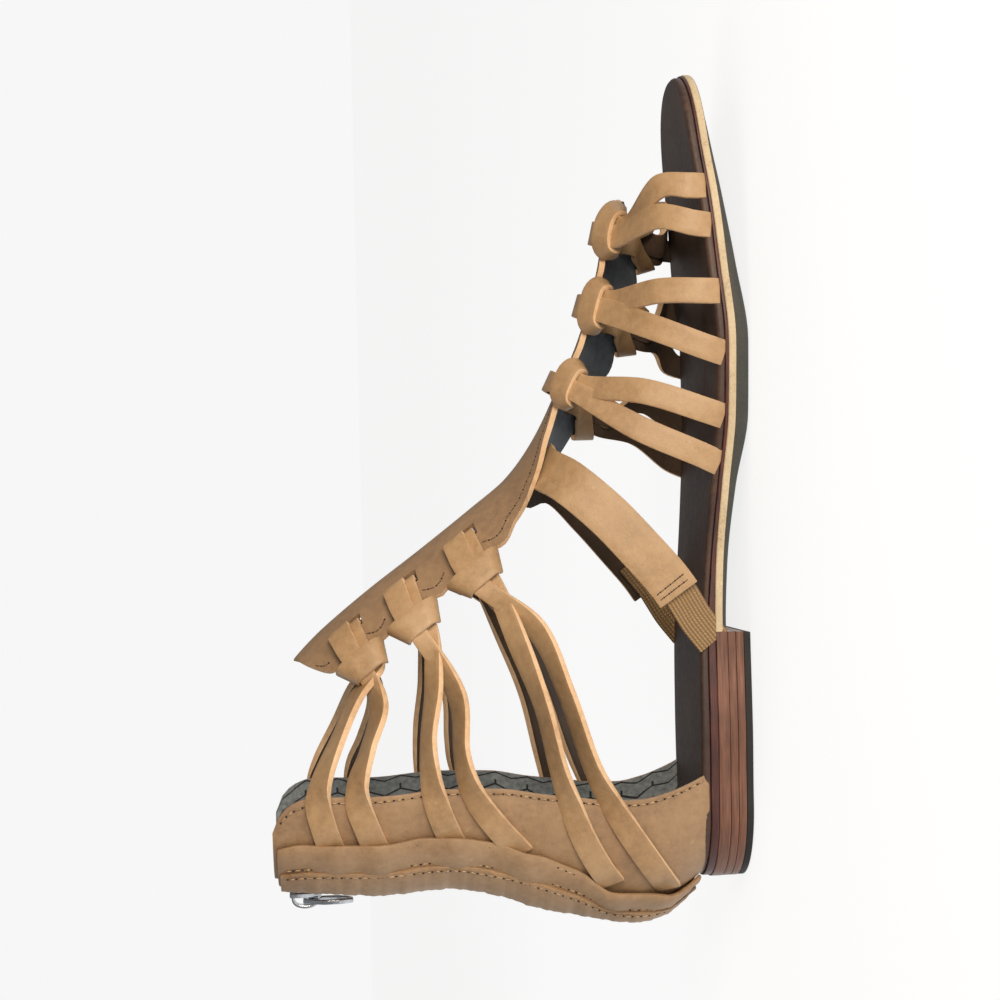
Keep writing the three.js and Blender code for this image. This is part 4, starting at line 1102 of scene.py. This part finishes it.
tape = cut_sheet("zip_woven_tape", 12, 60, lay_tape)
upward(tape, (-10, 0, 60), (-1, 0, 0))
worked(tape, "SOLIDIFY", thickness=TAPE_THICK * MM, offset=-1)
shaded(tape)
fitted(tape, [woven_tape], ["zip_tape"])
turns = []
z = ZIP_LOW + 1
while z < ZIP_HIGH - 6:
    tilt = math.radians(COIL_TILT if len(turns) % 2 else -COIL_TILT)
    bpy.ops.object.select_all(action="DESELECT")
    bpy.ops.mesh.primitive_torus_add(
        major_segments=9, minor_segments=5, major_radius=COIL_RADIUS * MM, minor_radius=COIL_WIRE * MM,
        location=spot(between(QUARTER, z, BACK) + 1.4, 0, z), rotation=(tilt, 0, 0))
    turns.append(bpy.context.active_object)
    z += COIL_STEP
coil = joined(turns, "zip_coil")
bpy.ops.object.transform_apply(location=True, rotation=True, scale=True)
bpy.ops.object.shade_smooth()
fitted(coil, [nylon])

# Bright nickel plating: mirror-like cool grey, with fine rubbed scratches and a slight haze.
nickel, shader = new_finish("bright_nickel_plating", Metallic=1.0)
place = node(nickel, "TexCoord", {}, "Object")
haze = node(nickel, "TexNoise", {"Vector": place, "Scale": 1 / (3 * MM), "Detail": 5.0})
rubbed = node(nickel, "Mapping", {"Vector": place, "Scale": (1, 6, 0.5)})
scratch = node(nickel, "TexNoise", {"Vector": rubbed, "Scale": 1 / (1.2 * MM), "Detail": 6.0})
plug_in(
    shader,
    Base_Color=node(nickel, "ValToRGB", {0: haze, "stops": [(0.3, "#A9ADB2"), (0.7, "#CFD3D8")]}),
    Roughness=node(nickel, "ValToRGB", {0: scratch, "stops": [(0.35, 0.14), (0.7, 0.34)]}),
    Normal=node(nickel, "Bump", {"Strength": 0.15, "Distance": 0.05 * MM, "Height": scratch}))
SLIDER_Z, SLIDER_WIDTH, SLIDER_HEIGHT, SLIDER_DEPTH = 139.0, 8.4, 10.0, 4.6
slider_x = between(QUARTER, SLIDER_Z, BACK) - 0.3 - SLIDER_DEPTH / 2
parts = []
# An outer and an inner wing that narrow downwards, with a post between them.
for depth, thick in ((-SLIDER_DEPTH / 2 + 0.8, 1.6), (SLIDER_DEPTH / 2 - 0.6, 1.2)):
    wing = block()
    hand_edit(wing, (bpy.ops.mesh.subdivide, {"number_cuts": 3}))
    for corner in wing.data.vertices:
        up_share = corner.co.z + 0.5
        narrow = 0.62 + 0.38 * min(1.0, up_share * 1.9)
        corner.co = spot(slider_x + depth + corner.co.x * thick, corner.co.y * SLIDER_WIDTH * narrow,
                         SLIDER_Z + corner.co.z * SLIDER_HEIGHT)
    broken_edges(wing, 0.5, 3, 50)
    parts.append(wing)
bpy.ops.object.select_all(action="DESELECT")
bpy.ops.mesh.primitive_cylinder_add(vertices=20, radius=1.5 * MM, depth=SLIDER_DEPTH * 0.7 * MM,
                                    location=spot(slider_x, 0, SLIDER_Z + 3), rotation=(0, math.pi / 2, 0))
parts.append(bpy.context.active_object)
BRIDGE_HALF, BRIDGE_REACH, BRIDGE_WIDTH = 4.0, 3.6, 3.2


def lay_bridge(u, v):
    angle = math.pi * v
    return (slider_x - SLIDER_DEPTH / 2 + 0.4 - BRIDGE_REACH * math.sin(angle) ** 0.6,
            (u - 0.5) * BRIDGE_WIDTH, SLIDER_Z - BRIDGE_HALF * math.cos(angle))


bridge = cut_sheet("bridge", 4, 24, lay_bridge)
worked(bridge, "SOLIDIFY", thickness=1.0 * MM, offset=0)
broken_edges(bridge, 0.25, 2, 50)
parts.append(bridge)
slider = joined(parts, "zip_slider_body")
bpy.ops.object.transform_apply(location=True, rotation=True, scale=True)
shaded(slider)
fitted(slider, [nickel], ["zip_slider"])

PULL_RIM, PULL_THICK, PULL_SEAT = 1.6, 1.5, 1.45
# The pull's outline from its top on one side: out from its middle, and up from the bridge's middle.
PULL_SIDE = [(2.2, 0.8), (5.2, -5.6), (5.2, -10.6), (2.4, -15.0)]
PULL_OUTLINE = PULL_SIDE + [(-out, up) for out, up in reversed(PULL_SIDE)]
bpy.ops.object.select_all(action="DESELECT")
bpy.ops.mesh.primitive_circle_add(vertices=len(PULL_OUTLINE), radius=1, fill_type="NGON")
pull = bpy.context.active_object
pull.name = "zip_pull_frame"
pull_x = slider_x - SLIDER_DEPTH / 2 - PULL_SEAT
for corner, (y, down) in zip(pull.data.vertices, PULL_OUTLINE):
    corner.co = spot(pull_x, y, SLIDER_Z + down)
hand_edit(pull, FACE_OUT, (bpy.ops.mesh.inset, {"thickness": PULL_RIM * MM}))
middle = min(pull.data.polygons, key=lambda face: (face.center - spot(pull_x, 0, SLIDER_Z - 8)).length)
for face in pull.data.polygons:
    face.select = face == middle
bpy.context.view_layer.objects.active = pull
bpy.ops.object.mode_set(mode="EDIT")
bpy.ops.mesh.select_mode(type="FACE")
bpy.ops.mesh.delete(type="FACE")
bpy.ops.object.mode_set(mode="OBJECT")
worked(pull, "SOLIDIFY", thickness=PULL_THICK * MM, offset=0)
broken_edges(pull, 0.35, 3, 40)
shaded(pull, 30)
fitted(pull, [nickel], ["zip_pull"], "pull")

# ---- Stage --------------------------------------------------------------------------------------------
# A plain pale floor, a large soft light from the heel side at a low height, a weak one from above,
# and the camera beside the inner side, 10 degrees above the floor and turned so that the toe points up.
bpy.ops.object.select_all(action="DESELECT")
bpy.ops.mesh.primitive_plane_add(size=12, location=(0, 2, -0.0002))
floor = bpy.context.active_object
floor.name = "studio_floor"
# White backdrop paper, lit through: nearly white and even, so that only a soft shadow shows on it.
paper, _ = new_finish(
    "white_paper", Roughness=0.9, Base_Color=srgb("#A0A09E"), Emission_Color=srgb("#FFFFFF"),
    Emission_Strength=0.8)
floor.data.materials.append(paper)
floor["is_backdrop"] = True

world = bpy.data.worlds.new("studio")
bpy.context.scene.world = world
world.use_nodes = True
sky = world.node_tree.nodes["Background"]
sky.inputs["Color"].default_value = srgb("#FFFFFF")
# The room lights the sandal weakly but looks nearly white behind it.
seen = node(world, "LightPath", {}, "Is Camera Ray")
plug_in(sky, Strength=node(world, "MapRange", {"Value": seen, "To Min": 0.26, "To Max": 0.93}))


def softbox(name, place, target, size, power, colour):
    light = bpy.data.lights.new(name, "AREA")
    light.shape = "RECTANGLE"
    light.size, light.size_y = size
    light.energy = power
    light.color = srgb(colour)[:3]
    holder = bpy.data.objects.new(name, light)
    bpy.context.scene.collection.objects.link(holder)
    holder.location = place
    holder.rotation_euler = (Vector(target) - Vector(place)).to_track_quat("-Z", "Y").to_euler()
    return holder


softbox("key_light", (0.3, -0.72, 0.12), (0.03, 0, 0.04), (0.35, 0.25), 4.6, "#FFF1DC")
softbox("fill_light", (-0.9, 0.35, 0.8), (0, 0, 0.05), (0.8, 0.6), 2.2, "#F4F8FF")

CAMERA_PLACE = (115.7, -776.6, 130.2)
LOOK_AT = (121.4, 0, 74.5)
CAMERA_TURN = 0.0232
lens = bpy.data.cameras.new("camera")
lens.lens = 88
lens.sensor_width = 36
camera = bpy.data.objects.new("camera", lens)
bpy.context.scene.collection.objects.link(camera)
eye, aim = spot(*CAMERA_PLACE), spot(*LOOK_AT)
forward = (aim - eye).normalized()
right = forward.cross(Vector((1, 0, 0))).normalized()
up = right.cross(forward).normalized()
turned_right = right * math.cos(CAMERA_TURN) - up * math.sin(CAMERA_TURN)
turned_up = up * math.cos(CAMERA_TURN) + right * math.sin(CAMERA_TURN)
facing = Matrix((turned_right, turned_up, -forward)).transposed().to_4x4()
camera.matrix_world = Matrix.Translation(eye) @ facing
bpy.context.scene.camera = camera
bpy.context.scene.view_settings.view_transform = "Standard"

low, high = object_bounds()
